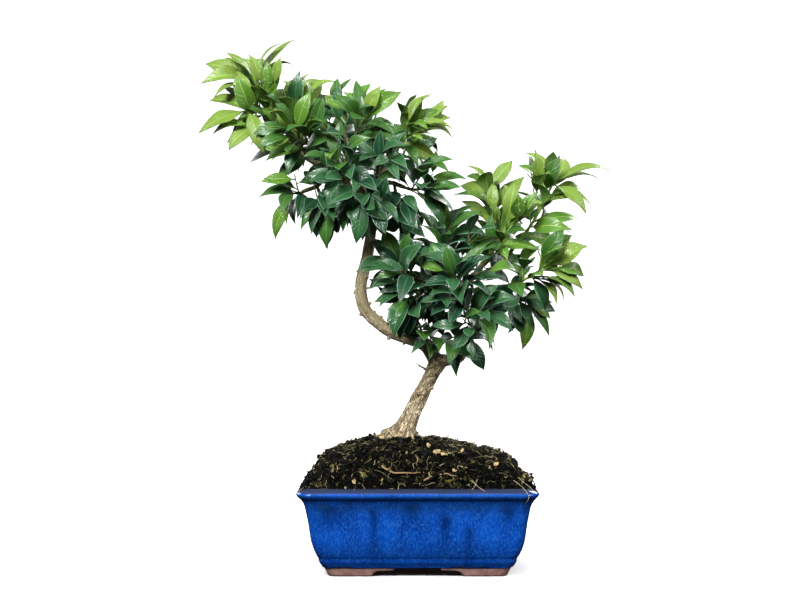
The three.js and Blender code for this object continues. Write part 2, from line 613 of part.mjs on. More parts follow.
// The leaves at the crown's outline, from near the stem's tip to where each one ends.
function growOuterLeaves(mass, crowd) {
  mass.leaves = [];
  for (const end of mass.ends || []) {
    const tries = drawsFor(mass).map((draw, turn) => {
      const foot = mass.stem.getPoint(LEAF.last - turn * LEAF.outerStep);
      const reach = vec(end).sub(foot);
      return leafAt(mass, mass.shoots[0], foot, reach.clone().normalize(), reach.length(), draw);
    });
    keepFirstClear(tries, mass, crowd);
  }
}

// Leaves go round each shoot by the golden angle. One that won't fit is turned and made smaller,
// and is left out when every try fails.
function growLeaves(mass, crowd) {
  for (const shoot of mass.shoots) {
    const run = shoot.length * (1 - shoot.from);
    const count = LEAF.least + Math.round(run / LEAF.step);
    const phase = 2 * Math.PI * mass.random();
    for (let i = 0; i < count; i++) {
      const place = lerp(shoot.from, LEAF.last, Math.pow(i / (count - 1), LEAF.crowding));
      const tries = drawsFor(mass).map((draw, turn) => {
        const azimuth = phase + i * GOLDEN_ANGLE + turn * LEAF.turn;
        const forward = leafHeading(mass, shoot, place, azimuth, draw);
        const age = lerp(LEAF.footSize, LEAF.tipSize, place) * (1 + LEAF.spread * (draw[5] - 0.5));
        const length = LEAF.length * age * Math.pow(LEAF.shrink, turn);
        return leafAt(mass, shoot, shoot.curve.getPoint(place), forward, length, draw);
      });
      keepFirstClear(tries.filter((leaf) => isWithinReach(leaf, mass)), mass, crowd);
    }
  }
}

function fuseMass(mass) {
  const stem = solid(shootGeometry(mass.stem, STEM)).subtract(solid(limbs[mass.on].keepOut));
  const twigs = mass.shoots.slice(1).map((shoot) => solid(shoot.geometry));
  const leaves = mass.leaves.map((leaf) => solid(leafGeometry(leaf)));
  return largest(wasm.Manifold.union([largest(stem), ...twigs, ...leaves]));
}

const MATERIALS = {
  glaze: { color: 0x0b3fa6, roughness: 0.18, metalness: 0 },
  clay: { color: 0x8c6258, roughness: 0.8, metalness: 0 },
  soil: { color: 0x1d1b16, roughness: 1, metalness: 0 },
  bark: { color: 0x9c8465, roughness: 0.85, metalness: 0 },
  leaf: { color: 0x2f6b2f, roughness: 0.5, metalness: 0 },
};

function makeMesh(name, made, finish) {
  const mesh = new THREE.Mesh(geometryOf(made), new THREE.MeshStandardMaterial(MATERIALS[finish]));
  mesh.name = name;
  return mesh;
}

const plant = new THREE.Group();
plant.add(makeMesh("pot", makePot(), "glaze"));
for (const foot of makeFeet()) {
  const { min, max } = foot.boundingBox();
  const end = min[1] + max[1] < 0 ? "front" : "back";
  const side = min[0] + max[0] < 0 ? "left" : "right";
  plant.add(makeMesh(`foot_${end}_${side}`, foot, "clay"));
}
plant.add(makeMesh("soil", makeSoil(), "soil"));

addLimb("trunk", TRUNK);
addLimb("leader_lower", LEADER_LOWER);
addLimb("leader_upper", LEADER_UPPER);
for (const [name, bough] of Object.entries(BOUGHS)) addLimb(name, bough);
for (const [name, limb] of Object.entries(limbs)) plant.add(makeMesh(name, limb.solid, "bark"));

const crowd = new Crowd(CUBE);
for (const limb of Object.values(limbs)) crowd.add(facesOf(limb.keepOut), { limb: true });
const masses = Object.values(MASSES);
masses.forEach((mass) => {
  growStem(mass);
  crowd.add(facesOf(shootGeometry(mass.stem, STEM)), { mass, shoot: 0 });
});
masses.forEach((mass) => growOuterLeaves(mass, crowd));
masses.forEach((mass) => growTwigs(mass, crowd));
masses.forEach((mass) => growLeaves(mass, crowd));
for (const [name, mass] of Object.entries(MASSES)) {
  plant.add(makeMesh("foliage_" + name, fuseMass(mass), "leaf"));
}

const bounds = new THREE.Box3().setFromObject(plant);
plant.position.set(-(bounds.min.x + bounds.max.x) / 2, -(bounds.min.y + bounds.max.y) / 2, 0);

export default plant;
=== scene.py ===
# A myrtle-leaf orange bonsai in a glazed pot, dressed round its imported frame.
# The growth rule works in millimetres from the middle of the pot. The meshes are in metres in the
# frame, whose pot says how far the two lie apart.
import math
from collections import defaultdict
from functools import lru_cache, partial
from types import SimpleNamespace

import bpy
import numpy as np
from bpy.props import FloatProperty, FloatVectorProperty, IntProperty, PointerProperty
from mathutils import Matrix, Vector, noise
from mathutils.bvhtree import BVHTree
from mathutils.kdtree import KDTree


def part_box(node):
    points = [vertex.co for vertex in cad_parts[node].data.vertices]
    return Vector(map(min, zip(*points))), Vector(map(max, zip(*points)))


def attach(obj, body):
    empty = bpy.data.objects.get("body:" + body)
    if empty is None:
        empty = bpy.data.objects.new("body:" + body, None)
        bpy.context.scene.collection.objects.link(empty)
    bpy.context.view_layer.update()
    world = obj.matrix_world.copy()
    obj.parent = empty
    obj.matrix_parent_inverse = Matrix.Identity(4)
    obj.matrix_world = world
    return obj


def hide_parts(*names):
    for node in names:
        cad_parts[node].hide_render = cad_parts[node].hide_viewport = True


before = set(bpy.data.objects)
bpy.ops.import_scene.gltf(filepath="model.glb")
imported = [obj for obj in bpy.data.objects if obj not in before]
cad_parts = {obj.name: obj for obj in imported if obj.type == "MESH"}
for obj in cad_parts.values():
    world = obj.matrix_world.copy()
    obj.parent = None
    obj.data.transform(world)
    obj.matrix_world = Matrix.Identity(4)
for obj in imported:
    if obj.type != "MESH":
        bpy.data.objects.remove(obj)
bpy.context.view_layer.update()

bl_info = {
    "name": "Myrtle-leaf orange bonsai",
    "version": (1, 0, 0),
    "blender": (4, 5, 0),
    "location": "3D View > Sidebar > Bonsai",
    "description": "Dresses a small citrus tree, its soil and its glazed pot",
    "category": "Add Mesh",
}

MM = 0.001
POT_LOW, POT_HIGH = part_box("pot")
POT_MIDDLE = Vector(((POT_LOW[0] + POT_HIGH[0]) / 2, (POT_LOW[1] + POT_HIGH[1]) / 2, 0))


def linear(code):
    """An sRGB hex colour as linear red, green, blue and alpha."""
    shares = [int(code[i : i + 2], 16) / 255 for i in (0, 2, 4)]
    return [s / 12.92 if s <= 0.04045 else ((s + 0.055) / 1.055) ** 2.4 for s in shares] + [1.0]


# Pot, in millimetres: half sizes at the rim, and its walls as inset from the rim and height.
RIM_HALF = (100.5, 75.5)
CORNER = dict(rim=13, least=7, shrink=0.4, steps=10)
EDGE_STEPS = (60, 44)
PROFILE_STEPS = 4
# Edges of the pot that bend by more degrees than this stay sharp.
POT_CREASE = 50
# Bare clay faces down by at least this much, up to this far over the feet.
FACING_DOWN = 0.9
BARE_OVER_FEET = 0.3
FLOOR_TOP = 15
FOOT_HEIGHT = 8
POT_OUTSIDE = [
    (21, FOOT_HEIGHT), (18.3, 12.3), (17.6, 15.8), (16.3, 17.9), (13.6, 24), (11.3, 32), (9.6, 44),
    (7.6, 55), (6.4, 60), (4.6, 64), (1.8, 67.4), (0.2, 69.4), (0, 71.2), (2, 73.2), (5.5, 74.8),
]
POT_INSIDE = [(8.5, 75.2), (10.5, 73.5), (13.5, 62), (17.5, 44), (21, 27), (28, FLOOR_TOP)]
DRAIN_HOLE = dict(radius=6.5, offset=38, sides=32)

# Soil heap, in millimetres: the share of the way in from the rim, and the share of the height.
SOIL_EDGE = 74
RIM_TOP = 75
SOIL_TOP = 112
HEAP_MIDDLE = (-14.5, 0)
HEAP_HALF = (24, 20)
HEAP_ROUNDNESS = (0.3, 0.95)
HEAP_PROFILE = [(0.04, 0.3), (0.11, 0.5), (0.22, 0.62), (0.41, 0.76), (0.61, 0.87), (0.82, 0.95), (1, 1)]
# Rings of the heap: on its steep foot, which ends at a share of the way in, its slope and its flat top.
HEAP_STEPS = dict(steep=0.12, foot=13, slope=45, top=13)
# Its lumps and the finer ones on them, in millimetres. They fade in above the edge.
LUMPS = dict(size=10, fine_size=3.4, fine=1.5, sunk=1.4, fade=4)

# Wood: points along each limb in millimetres, and radii spread evenly from its foot to its tip. A limb
# leaves another at a share of that one's length.
LIMBS = {
    "trunk": dict(
        path=[(-13.5, 0, SOIL_TOP), (-7, 0, 127), (0.5, 1, 143), (8.5, 1, 159), (14, 0, 169), (19.5, 0, 180)],
        radii=[9.6, 7.6, 6.9, 6.2, 6.6, 8],
    ),
    "leader_lower": dict(
        on="trunk", at=0.94, radii=[6.6, 5.6, 5.2, 5.2, 5.1, 5.1, 5.1, 5, 5],
        path=[(8, -2, 191), (-2, -4, 196), (-14, -6, 200), (-25, -7, 205), (-34.5, -8, 212), (-43, -8, 220),
              (-47.5, -8, 230), (-49, -7, 241)],
    ),
    "leader_upper": dict(
        on="leader_lower", at=1, radii=[4.9, 4.9, 4.8, 4.5, 4.4, 4],
        path=[(-46.5, -6, 255), (-43, -4, 269), (-40.5, -2, 285), (-39.5, 0, 300), (-42.5, 1, 313)],
    ),
    "bough_right": dict(
        on="trunk", at=0.97, radii=[4.4, 3.6, 3.2, 3.1, 3, 2.8, 2.6],
        path=[(36, 0, 180), (40.5, -1, 188), (38, -2, 197), (33.5, -3, 206), (31, -3, 216), (33, -2, 229)],
    ),
    "bough_top_left": dict(
        on="leader_upper", at=1, radii=[3.4, 3.2, 2.9, 2.5, 2],
        path=[(-57, -2, 327), (-77, -6, 343), (-95, -9, 354), (-108, -11, 364)],
    ),
    "bough_top_right": dict(
        on="leader_upper", at=0.97, radii=[2.8, 2.3, 1.9], path=[(-34, -2, 339), (-22, -5, 361)],
    ),
    "bough_top_back": dict(
        on="leader_upper", at=0.93, radii=[2.8, 2.3, 1.9], path=[(-50, 20, 337), (-60, 42, 361)],
    ),
    "bough_front": dict(
        on="leader_upper", at=0.9, radii=[2.2, 1.9, 1.7], path=[(-45, -18, 321), (-49, -32, 329)],
    ),
    "bough_left_low": dict(
        on="bough_top_left", at=0.5, radii=[2, 1.8, 1.6], path=[(-85, -11, 330), (-97, -18, 324)],
    ),
    "bough_top_middle": dict(
        on="bough_top_left", at=0.3, radii=[2.3, 2, 1.8], path=[(-58, -4, 348), (-61, -8, 371)],
    ),
    "bough_shoulder": dict(
        on="bough_top_right", at=0.25, radii=[2.1, 1.9, 1.7], path=[(-25, -10, 332), (-12, -16, 328)],
    ),
    "bough_back_right": dict(
        on="bough_top_right", at=0.5, radii=[2, 1.8, 1.6], path=[(-24, 20, 349), (-17, 36, 356)],
    ),
    "bough_back_low": dict(
        on="leader_upper", at=0.75, radii=[2.2, 2, 1.7], path=[(-50, 20, 312), (-57, 36, 322)],
    ),
    "bough_right_high": dict(
        on="bough_right", at=1, radii=[2.5, 2.3, 1.9], path=[(46, 0, 248), (63, 2, 270)],
    ),
    "bough_right_far": dict(
        on="bough_right_high", at=0.55, radii=[1.9, 1.8, 1.6], path=[(72, -5, 262), (85, -8, 279)],
    ),
    "bough_right_side": dict(
        on="bough_right", at=0.93, radii=[2.3, 2, 1.7], path=[(54, -8, 236), (74, -15, 243)],
    ),
    "bough_right_front": dict(
        on="bough_right", at=0.78, radii=[2, 1.8, 1.6], path=[(33, -14, 217), (37, -26, 218)],
    ),
    "bough_inner": dict(
        on="bough_right", at=0.96, radii=[2.2, 2, 1.7], path=[(20, -7, 242), (8, -13, 249)],
    ),
    "bough_right_back": dict(
        on="bough_right", at=0.88, radii=[2.3, 2, 1.8], path=[(42, 17, 240), (50, 33, 254)],
    ),
}
# The swell at the trunk's foot, with its lobes and the one strong root, in millimetres.
FLARE = dict(swell=2.6, height=7, lobes=0.35, lobe_count=3, root=12, root_height=5, root_power=6)
# Growth keeps this far from the limbs and from what isn't of its own mass.
GAP = 0.3
KEEP_OUT_SIDES = 8

# Foliage: limb, share along it, tip of the stem, reach, twigs, droop and seed, how young its leaves are
# from 0 to 1, and the tips of the leaves that make the crown's outline. Youth also paints light and shade: it
# is set low for masses in the shaded inside of the crown and high for lit ones.
MASSES = {
    "top_left_tip": ("bough_top_left", 1, (-141, -13, 425), 38, 4, 0, 11, 0.92,
        [(-107, -8, 458), (-121, -26, 452), (-182, -10, 437), (-182, -30, 420), (-172, -36, 407)]),
    "top_left_low": ("bough_top_left", 0.88, (-147, -28, 395), 40, 3, 0, 12, 0.75,
        [(-186, -34, 375), (-180, -12, 403), (-131, -44, 357)]),
    "top_left_crest": ("bough_top_left", 0.85, (-103, -4, 407), 32, 2, 0, 42, 0.74,
        [(-116, 0, 422), (-95, -14, 426), (-72, -4, 423)]),
    "top_left_front": ("bough_top_left", 0.72, (-102, -46, 374), 37, 3, 0.1, 13, 0.54, []),
    "top_left_inner": ("bough_top_middle", 1, (-72, 6, 394), 36, 2, 0.1, 14, 0.35, [(-72, 10, 423)]),
    "top_middle": ("bough_top_middle", 0.85, (-44, -30, 388), 38, 3, 0.1, 15, 0.5,
        [(-51, -24, 420), (-32, -34, 412)]),
    "middle": ("bough_top_right", 0.45, (-32, -38, 352), 36, 2, 0.1, 44, 0.1, []),
    "top_right": ("bough_top_right", 1, (2, -20, 380), 35, 3, 0.1, 16, 0.92,
        [(25, -20, 399), (30, -30, 375)]),
    "shoulder": ("bough_shoulder", 1, (7, -28, 326), 37, 3, 0.15, 17, 0.35, [(32, -28, 341)]),
    "shoulder_low": ("bough_shoulder", 0.7, (-14, -22, 303), 36, 2, 0.3, 18, 0.05, []),
    "front": ("bough_front", 1, (-46, -58, 313), 37, 2, 0.4, 19, 0.1, [(-51, -62, 278)]),
    "front_high": ("bough_front", 0.75, (-68, -56, 350), 37, 2, 0.15, 20, 0.25, []),
    "left_low": ("bough_left_low", 1, (-106, -24, 322), 34, 2, 0.9, 21, 0.55,
        [(-125, -24, 285), (-113, -34, 297), (-121, -18, 338)]),
    "left_under": ("bough_left_low", 0.55, (-76, -36, 309), 36, 2, 0.5, 22, 0.15, [(-76, -36, 275)]),
    "back_left": ("bough_top_back", 0.8, (-98, 52, 374), 40, 3, 0.15, 23, 0.5, []),
    "back_top": ("bough_top_back", 1, (-56, 62, 391), 40, 3, 0.1, 24, 0.7, []),
    "back_right": ("bough_back_right", 1, (-10, 56, 366), 39, 3, 0.15, 25, 0.5, []),
    "back_low": ("bough_back_low", 1, (-44, 58, 322), 39, 2, 0.4, 26, 0.2, []),
    "right_top": ("bough_right_far", 1, (118, -12, 335), 37, 3, 0.2, 27, 1.0,
        [(162, -18, 351), (157, -4, 340), (95, -10, 360), (146, -24, 309)]),
    "right_crest": ("bough_right_high", 1, (62, 6, 331), 34, 2, 0, 28, 0.9, [(83, 8, 353), (46, 4, 350)]),
    "right_middle": ("bough_right_high", 0.8, (84, -22, 306), 34, 2, 0, 29, 0.85, []),
    "right_side": ("bough_right_side", 1, (112, -25, 262), 36, 3, 0.2, 30, 0.9,
        [(144, -26, 280), (142, -30, 244), (138, -10, 264)]),
    "right_low": ("bough_right_side", 0.75, (96, 2, 230), 33, 2, 0.35, 31, 0.25,
        [(118, 4, 201), (94, 0, 188)]),
    "right_foot": ("bough_right_front", 1, (50, -42, 218), 37, 2, 0.3, 32, 0.1, []),
    "right_front": ("bough_right_front", 0.75, (34, -56, 256), 39, 3, 0.3, 33, 0.15, []),
    "inner_low": ("bough_inner", 0.75, (-8, -38, 232), 38, 3, 0.3, 34, 0.05,
        [(-37, -34, 231), (-25, -50, 213)]),
    "inner_left": ("bough_inner", 1, (-22, -20, 264), 36, 2, 0.2, 35, 0.05, []),
    "inner_front": ("bough_inner", 0.9, (-14, -54, 256), 36, 2, 0.3, 45, 0.05, []),
    "inner_crest": ("bough_inner", 0.5, (28, -14, 298), 34, 3, 0.1, 36, 0.3, []),
    "inner_top": ("bough_right_high", 0.3, (44, -30, 290), 32, 2, 0.1, 43, 0.25, []),
    "right_back": ("bough_right_back", 1, (78, 50, 278), 40, 3, 0.15, 37, 0.5, []),
    "right_back_low": ("bough_right_back", 0.8, (58, 54, 228), 37, 2, 0.4, 38, 0.2, []),
    "inner_back": ("bough_right_back", 0.6, (14, 46, 258), 38, 2, 0.2, 39, 0.2, []),
    "fork_sprout": ("leader_lower", 0.14, (2, -26, 211), 38, 2, 0.3, 40, 0.3, []),
    "fork_leaves": ("bough_right", 0.45, (33, -20, 200), 34, 2, 0.6, 41, 0.3, []),
}
# Lengths and radii are in millimetres and angles in radians. A share is one of a length.
STEM = dict(radii=[1.5, 1.2, 0.9], sides=3, steps=3, bare_share=0.2, bow=0.45, sag=0.12)
TWIG = dict(
    radii=[0.85, 0.6], sides=3, steps=1, first=0.3, last=0.92, jitter=0.06, length=0.5, least=0.85,
    spread=0.3, foot_share=1.1, tip_loss=0.35, turn=0.8, open=0.95, lift=0.25, tip_lift=0.4, bare_share=0.2,
)
LEAF = dict(
    length=42, spread=0.34, foot_size=1.05, tip_size=0.85, width=0.39, width_spread=0.2, thickness=0.022,
    arch=0.07, step=9, least=3, crowding=0.75, last=0.95, open_foot=1.25, open_tip=0.55, open_spread=0.4,
    turn_spread=0.5, tries=4, turn=1.3, shrink=0.93, root_share=0.08, outer_step=0.06, droop_loss=0.5,
    draws=7,
)
# The solids' blade: where along it the wide and the narrow shoulders and the keel are.
BLADE = dict(wide=0.4, narrow=0.7, narrow_share=0.76, keel=0.5)
# Finer twigs stand on the twigs and stems, with shorter leaves.
SPRIG = dict(
    radii=[0.6, 0.45], sides=3, steps=1, each=2, stem_each=3, first=0.3, last=0.9, length=15, least=0.7,
    spread=0.6, open=0.9, tip_lift=0.5, bare_share=0.15, inside=8, leaves=4, leaf_length=34, seed=500,
    number=100,
)
# More of them stand on these masses, which hide the boughs behind them.
DENSE = {"front": 2, "middle": 2, "front_high": 2, "shoulder_low": 1, "top_left_front": 1, "left_under": 1}
# Leaves face the light, less so outwards from their mass, and wobble.
LIGHT = Vector((0, -0.7, 0.6))
OUTWARD = 0.4
WOBBLE = 0.7
# Cubes of space, in millimetres, that sort what new growth has to keep clear of.
CUBE = 24
GOLDEN_ANGLE = math.pi * (3 - math.sqrt(5))
# An axis this near to upright is turned round by the level one.
NEARLY_UPRIGHT = 0.9
# What each random number is made from by the one before it.
RANDOM = dict(seed_step=7919, factor=1664525, more=1013904223, modulus=2**32)


def lerp(a, b, t):
    return a + (b - a) * t


def seeded(seed):
    """Numbers from 0 to 1 that are the same on every run, and the same as the solids are grown from."""
    state = seed * RANDOM["seed_step"]

    def draw():
        nonlocal state
        state = (state * RANDOM["factor"] + RANDOM["more"]) % RANDOM["modulus"]
        return state / RANDOM["modulus"]

    draw()
    draw()
    return draw


def along(values, t):
    """A value from a list spread evenly over 0 to 1."""
    place = t * (len(values) - 1)
    i = min(int(place), len(values) - 2)
    return lerp(values[i], values[i + 1], place - i)


class Spline:
    """A smooth curve through points, with the same share of it between each two."""

    def __init__(self, points):
        self.points = [Vector(p) for p in points]

    def corners(self, t):
        """The two points round a share, the slopes at them, and how far the share is between them."""
        points = self.points
        place = t * (len(points) - 1)
        i = min(int(place), len(points) - 2)
        b, c = points[i], points[i + 1]
        a = points[i - 1] if i > 0 else 2 * b - c
        d = points[i + 2] if i + 2 < len(points) else 2 * c - b
        return b, c, (c - a) / 2, (d - b) / 2, place - i

    def at(self, t):
        b, c, leave, arrive, w = self.corners(t)
        return (
            b * (2 * w**3 - 3 * w**2 + 1) + leave * (w**3 - 2 * w**2 + w)
            + c * (3 * w**2 - 2 * w**3) + arrive * (w**3 - w**2)
        )

    def tangent(self, t):
        b, c, leave, arrive, w = self.corners(t)
        slope = (
            b * (6 * w**2 - 6 * w) + leave * (3 * w**2 - 4 * w + 1)
            + c * (6 * w - 6 * w**2) + arrive * (3 * w**2 - 2 * w)
        )
        return slope.normalized()


def arc_length(curve, steps=20):
    return sum((curve.at((i + 1) / steps) - curve.at(i / steps)).length for i in range(steps))


class Bow:
    """A curve from a foot to a tip that is drawn towards a bend."""

    def __init__(self, foot, bend, tip):
        self.foot, self.bend, self.tip = foot, bend, tip

    def at(self, t):
        return self.foot * (1 - t) ** 2 + self.bend * (2 * t * (1 - t)) + self.tip * t**2

    def tangent(self, t):
        return ((self.bend - self.foot) * (1 - t) + (self.tip - self.bend) * t).normalized()


def tube_rings(point_at, radius_at, sides, steps):
    """Rings round a curve that don't twist."""
    points = [point_at(i / steps) for i in range(steps + 1)]
    rings = []
    across = None
    for i, point in enumerate(points):
        tangent = (points[min(i + 1, steps)] - points[max(i - 1, 0)]).normalized()
        if across is None:
            across = Vector((0, 1, 0)).cross(tangent)
        across = (across - tangent * across.dot(tangent)).normalized()
        other = tangent.cross(across)
        ring = []
        for s in range(sides):
            angle = s / sides * 2 * math.pi
            out = across * math.cos(angle) + other * math.sin(angle)
            ring.append(point + out * radius_at(i / steps, out, point))
        rings.append(ring)
    return rings


def loft(rings):
    """Points and faces of a closed skin over rings of points."""
    count = len(rings[0])
    faces = []
    for k in range(len(rings) - 1):
        for i in range(count):
            a, b = k * count + i, k * count + (i + 1) % count
            faces.append((a, b, b + count, a + count))
    last = (len(rings) - 1) * count
    faces.append(tuple(range(count - 1, -1, -1)))
    faces.append(tuple(range(last, last + count)))
    return [point for ring in rings for point in ring], faces


def flare(out, point):
    """How much the trunk swells to its roots just above the soil, most of all on the left."""
    height = max(0, point.z - SOIL_TOP)
    lobes = 1 + FLARE["lobes"] * math.cos(FLARE["lobe_count"] * math.atan2(out.y, out.x))
    leftward = max(0, -out.x) ** FLARE["root_power"]
    root = FLARE["root"] * math.exp(-height / FLARE["root_height"]) * leftward
    return FLARE["swell"] * math.exp(-height / FLARE["height"]) * lobes + root


class Crowd:
    """What new growth has to stay clear of, sorted into cubes of space so that few are tried."""

    def __init__(self):
        self.cells = defaultdict(list)

    def keys(self, points):
        low = [math.floor(min(p[i] for p in points) / CUBE) for i in range(3)]
        high = [math.floor(max(p[i] for p in points) / CUBE) for i in range(3)]
        for x in range(low[0], high[0] + 1):
            for y in range(low[1], high[1] + 1):
                for z in range(low[2], high[2] + 1):
                    yield x, y, z

    def add(self, shape, **tag):
        item = SimpleNamespace(tree=BVHTree.FromPolygons(*shape), **tag)
        for key in self.keys(shape[0]):
            self.cells[key].append(item)

    def touches(self, shape, ignores):
        tree = BVHTree.FromPolygons(*shape)
        near = {id(item): item for key in self.keys(shape[0]) for item in self.cells[key]}
        return any(not ignores(item) and tree.overlap(item.tree) for item in near.values())


def leaf_shape(leaf, grow=0.0, start=0.0):
    """The coarse blade that the solids have: it arches over and is flat across the top."""
    side = leaf.forward.cross(leaf.up)
    half = leaf.width / 2 + grow
    arch = LEAF["arch"] * leaf.length

    def at(share, across, rise):
        return leaf.foot + leaf.forward * (share * leaf.length) + side * across + leaf.up * rise

    narrow = BLADE["narrow_share"] * half
    points = [
        at(start - grow / leaf.length, 0, 0),
        at(BLADE["wide"], half, arch + grow),
        at(BLADE["narrow"], narrow, arch + grow),
        at(1 + grow / leaf.length, 0, 0),
        at(BLADE["narrow"], -narrow, arch + grow),
        at(BLADE["wide"], -half, arch + grow),
        at(BLADE["keel"], 0, arch - LEAF["thickness"] * leaf.length - grow),
    ]
    under = [((i + 1) % 6, i, 6) for i in range(6)]
    return points, [(0, 1, 5), (1, 2, 5), (2, 4, 5), (2, 3, 4)] + under


def aimed(axis, opening, azimuth):
    """A direction that opens from an axis by an angle, turned round it by an azimuth."""
    level = Vector((1, 0, 0)) if abs(axis.z) > NEARLY_UPRIGHT else Vector((0, 0, 1))
    u = axis.cross(level).normalized()
    v = axis.cross(u)
    side = u * math.cos(azimuth) + v * math.sin(azimuth)
    return axis * math.cos(opening) + side * math.sin(opening)


def tapered(radii):
    """The radius of a round rod, as a function of the share along it, a direction and a point."""
    return lambda t, out, point: along(radii, t)


def shoot_shape(curve, kind):
    return loft(tube_rings(curve.at, tapered(kind["radii"]), kind["sides"], kind["steps"]))


def distance_to_stem(point, stem):
    samples = [stem.at(i / STEM["steps"]) for i in range(STEM["steps"] + 1)]
    best = math.inf
    for a, b in zip(samples, samples[1:]):
        run = b - a
        share = min(1, max(0, (point - a).dot(run) / run.length_squared))
        best = min(best, (point - a - run * share).length)
    return best


def grow_limbs():
    """The curve of every limb, each from its parent's middle."""
    curves = {}
    for name, limb in LIMBS.items():
        points = list(limb["path"])
        if "on" in limb:
            points.insert(0, curves[limb["on"]].at(limb["at"]))
        curves[name] = Spline(points)
    return curves


def limb_keep_out(name, curve):
    """A limb grown by the clear gap, which no leaf may touch."""

    def place(t):
        end = -GAP if t == 0 else GAP if t == 1 else 0
        return curve.at(t) + curve.tangent(t) * end

    def radius_at(t, out, point):
        swell = flare(out, point) if name == "trunk" else 0
        return along(LIMBS[name]["radii"], t) + swell + GAP

    return loft(tube_rings(place, radius_at, KEEP_OUT_SIDES, 2 * (len(curve.points) - 1)))


def grow_stem(mass, curves):
    limb = curves[mass.on]
    foot = limb.at(mass.at)
    tip = Vector(mass.tip)
    length = (tip - foot).length
    heading = (tip - foot).normalized()
    if mass.at == 1:
        heading = (limb.tangent(1) + heading).normalized()
    bend = foot + heading * (STEM["bow"] * length) - Vector((0, 0, STEM["sag"] * length))
    mass.stem = Bow(foot, bend, tip)
    mass.shoots = [SimpleNamespace(id=0, curve=mass.stem, length=length, start=STEM["bare_share"], kind=STEM)]


def grow_twigs(mass, crowd):
    for k in range(mass.twigs):
        t = lerp(TWIG["first"], TWIG["last"], (k + 0.5) / mass.twigs) + TWIG["jitter"] * (mass.draw() - 0.5)
        azimuth = k * GOLDEN_ANGLE + TWIG["turn"] * mass.draw() + mass.seed
        size = (TWIG["least"] + TWIG["spread"] * mass.draw()) * (TWIG["foot_share"] - TWIG["tip_loss"] * t)
        length = mass.reach * TWIG["length"] * size
        foot = mass.stem.at(t)
        heading = aimed(mass.stem.tangent(t), TWIG["open"], azimuth)
        heading.z += TWIG["lift"]
        heading.normalize()
        tip = foot + heading * length
        tip.z += TWIG["lift"] * TWIG["tip_lift"] * length
        curve = Bow(foot, foot + heading * (0.5 * length), tip)
        shape = shoot_shape(curve, TWIG)
        if crowd.touches(shape, lambda item: item.mass is mass and not item.leaf):
            continue
        mass.shoots.append(
            SimpleNamespace(id=k + 1, curve=curve, length=length, start=TWIG["bare_share"], kind=TWIG)
        )
        crowd.add(shape, mass=mass, shoot=k + 1, leaf=False)


def leaf_heading(mass, shoot, place, azimuth, draw):
    """Leaves open wide at the foot of the shoot and narrow at its tip."""
    opening = lerp(LEAF["open_foot"], LEAF["open_tip"], place) * (1 + LEAF["open_spread"] * (draw[0] - 0.5))
    forward = aimed(shoot.curve.tangent(place), opening, azimuth + LEAF["turn_spread"] * draw[1])
    forward.z -= mass.droop * (1 - LEAF["droop_loss"] * place)
    return forward.normalized()


def leaf_at(mass, shoot, foot, forward, length, draw, place):
    """A leaf that turns its face to the light and outwards."""
    outward = (foot - mass.stem.at(0.5)).normalized()
    wobble = Vector((draw[2] - 0.5, draw[3] - 0.5, draw[4] - 0.5))
    up = LIGHT + outward * OUTWARD + wobble * WOBBLE
    up = (up - forward * up.dot(forward)).normalized()
    width = length * LEAF["width"] * (1 + LEAF["width_spread"] * (draw[6] - 0.5))
    return SimpleNamespace(
        foot=foot, forward=forward, up=up, length=length, width=width, shoot=shoot.id, place=place,
        mass=mass, outer=False,
    )


def within_reach(leaf):
    return all(distance_to_stem(p, leaf.mass.stem) <= leaf.mass.reach for p in leaf_shape(leaf)[0])


def is_clear(leaf, crowd):
    """Clear of everything outside its own mass, and beyond its root also of what is in it."""
    mass = leaf.mass
    if crowd.touches(leaf_shape(leaf, GAP), lambda item: item.mass is mass):
        return False
    blade = leaf_shape(leaf, 0, LEAF["root_share"])
    return not crowd.touches(
        blade, lambda item: item.mass is not mass or (item.shoot == leaf.shoot and not item.leaf)
    )


def keep_first_clear(tries, crowd):
    for leaf in tries:
        if is_clear(leaf, crowd):
            leaf.mass.leaves.append(leaf)
            crowd.add(leaf_shape(leaf), mass=leaf.mass, shoot=leaf.shoot, leaf=True)
            return


def draws_for(mass):
    """The random numbers of each try at a leaf. They are drawn whether or not the try is needed."""
    return [[mass.draw() for _ in range(LEAF["draws"])] for _ in range(LEAF["tries"])]


def grow_outer_leaves(mass, crowd):
    """The leaves at the crown's outline, from near the stem's tip to where each one ends."""
    for end in mass.ends:
        tries = []
        for turn, draw in enumerate(draws_for(mass)):
            place = LEAF["last"] - turn * LEAF["outer_step"]
            reach = Vector(end) - mass.stem.at(place)
            foot = mass.stem.at(place)
            tries.append(leaf_at(mass, mass.shoots[0], foot, reach.normalized(), reach.length, draw, place))
        keep_first_clear(tries, crowd)
    for leaf in mass.leaves:
        leaf.outer = True


def grow_leaves_on(mass, shoot, count, base_length, crowd):
    """Leaves go round the shoot by the golden angle. One that won't fit is turned and made smaller."""
    phase = 2 * math.pi * mass.draw()
    for i in range(count):
        place = lerp(shoot.start, LEAF["last"], (i / (count - 1)) ** LEAF["crowding"])
        tries = []
        for turn, draw in enumerate(draws_for(mass)):
            azimuth = phase + i * GOLDEN_ANGLE + turn * LEAF["turn"]
            forward = leaf_heading(mass, shoot, place, azimuth, draw)
            age = lerp(LEAF["foot_size"], LEAF["tip_size"], place) * (1 + LEAF["spread"] * (draw[5] - 0.5))
            length = base_length * age * LEAF["shrink"] ** turn
            leaf = leaf_at(mass, shoot, shoot.curve.at(place), forward, length, draw, place)
            if within_reach(leaf):
                tries.append(leaf)
        keep_first_clear(tries, crowd)


def grow_leaves(mass, crowd):
    for shoot in mass.shoots:
        run = shoot.length * (1 - shoot.start)
        grow_leaves_on(mass, shoot, LEAF["least"] + round(run / LEAF["step"]), LEAF["length"], crowd)


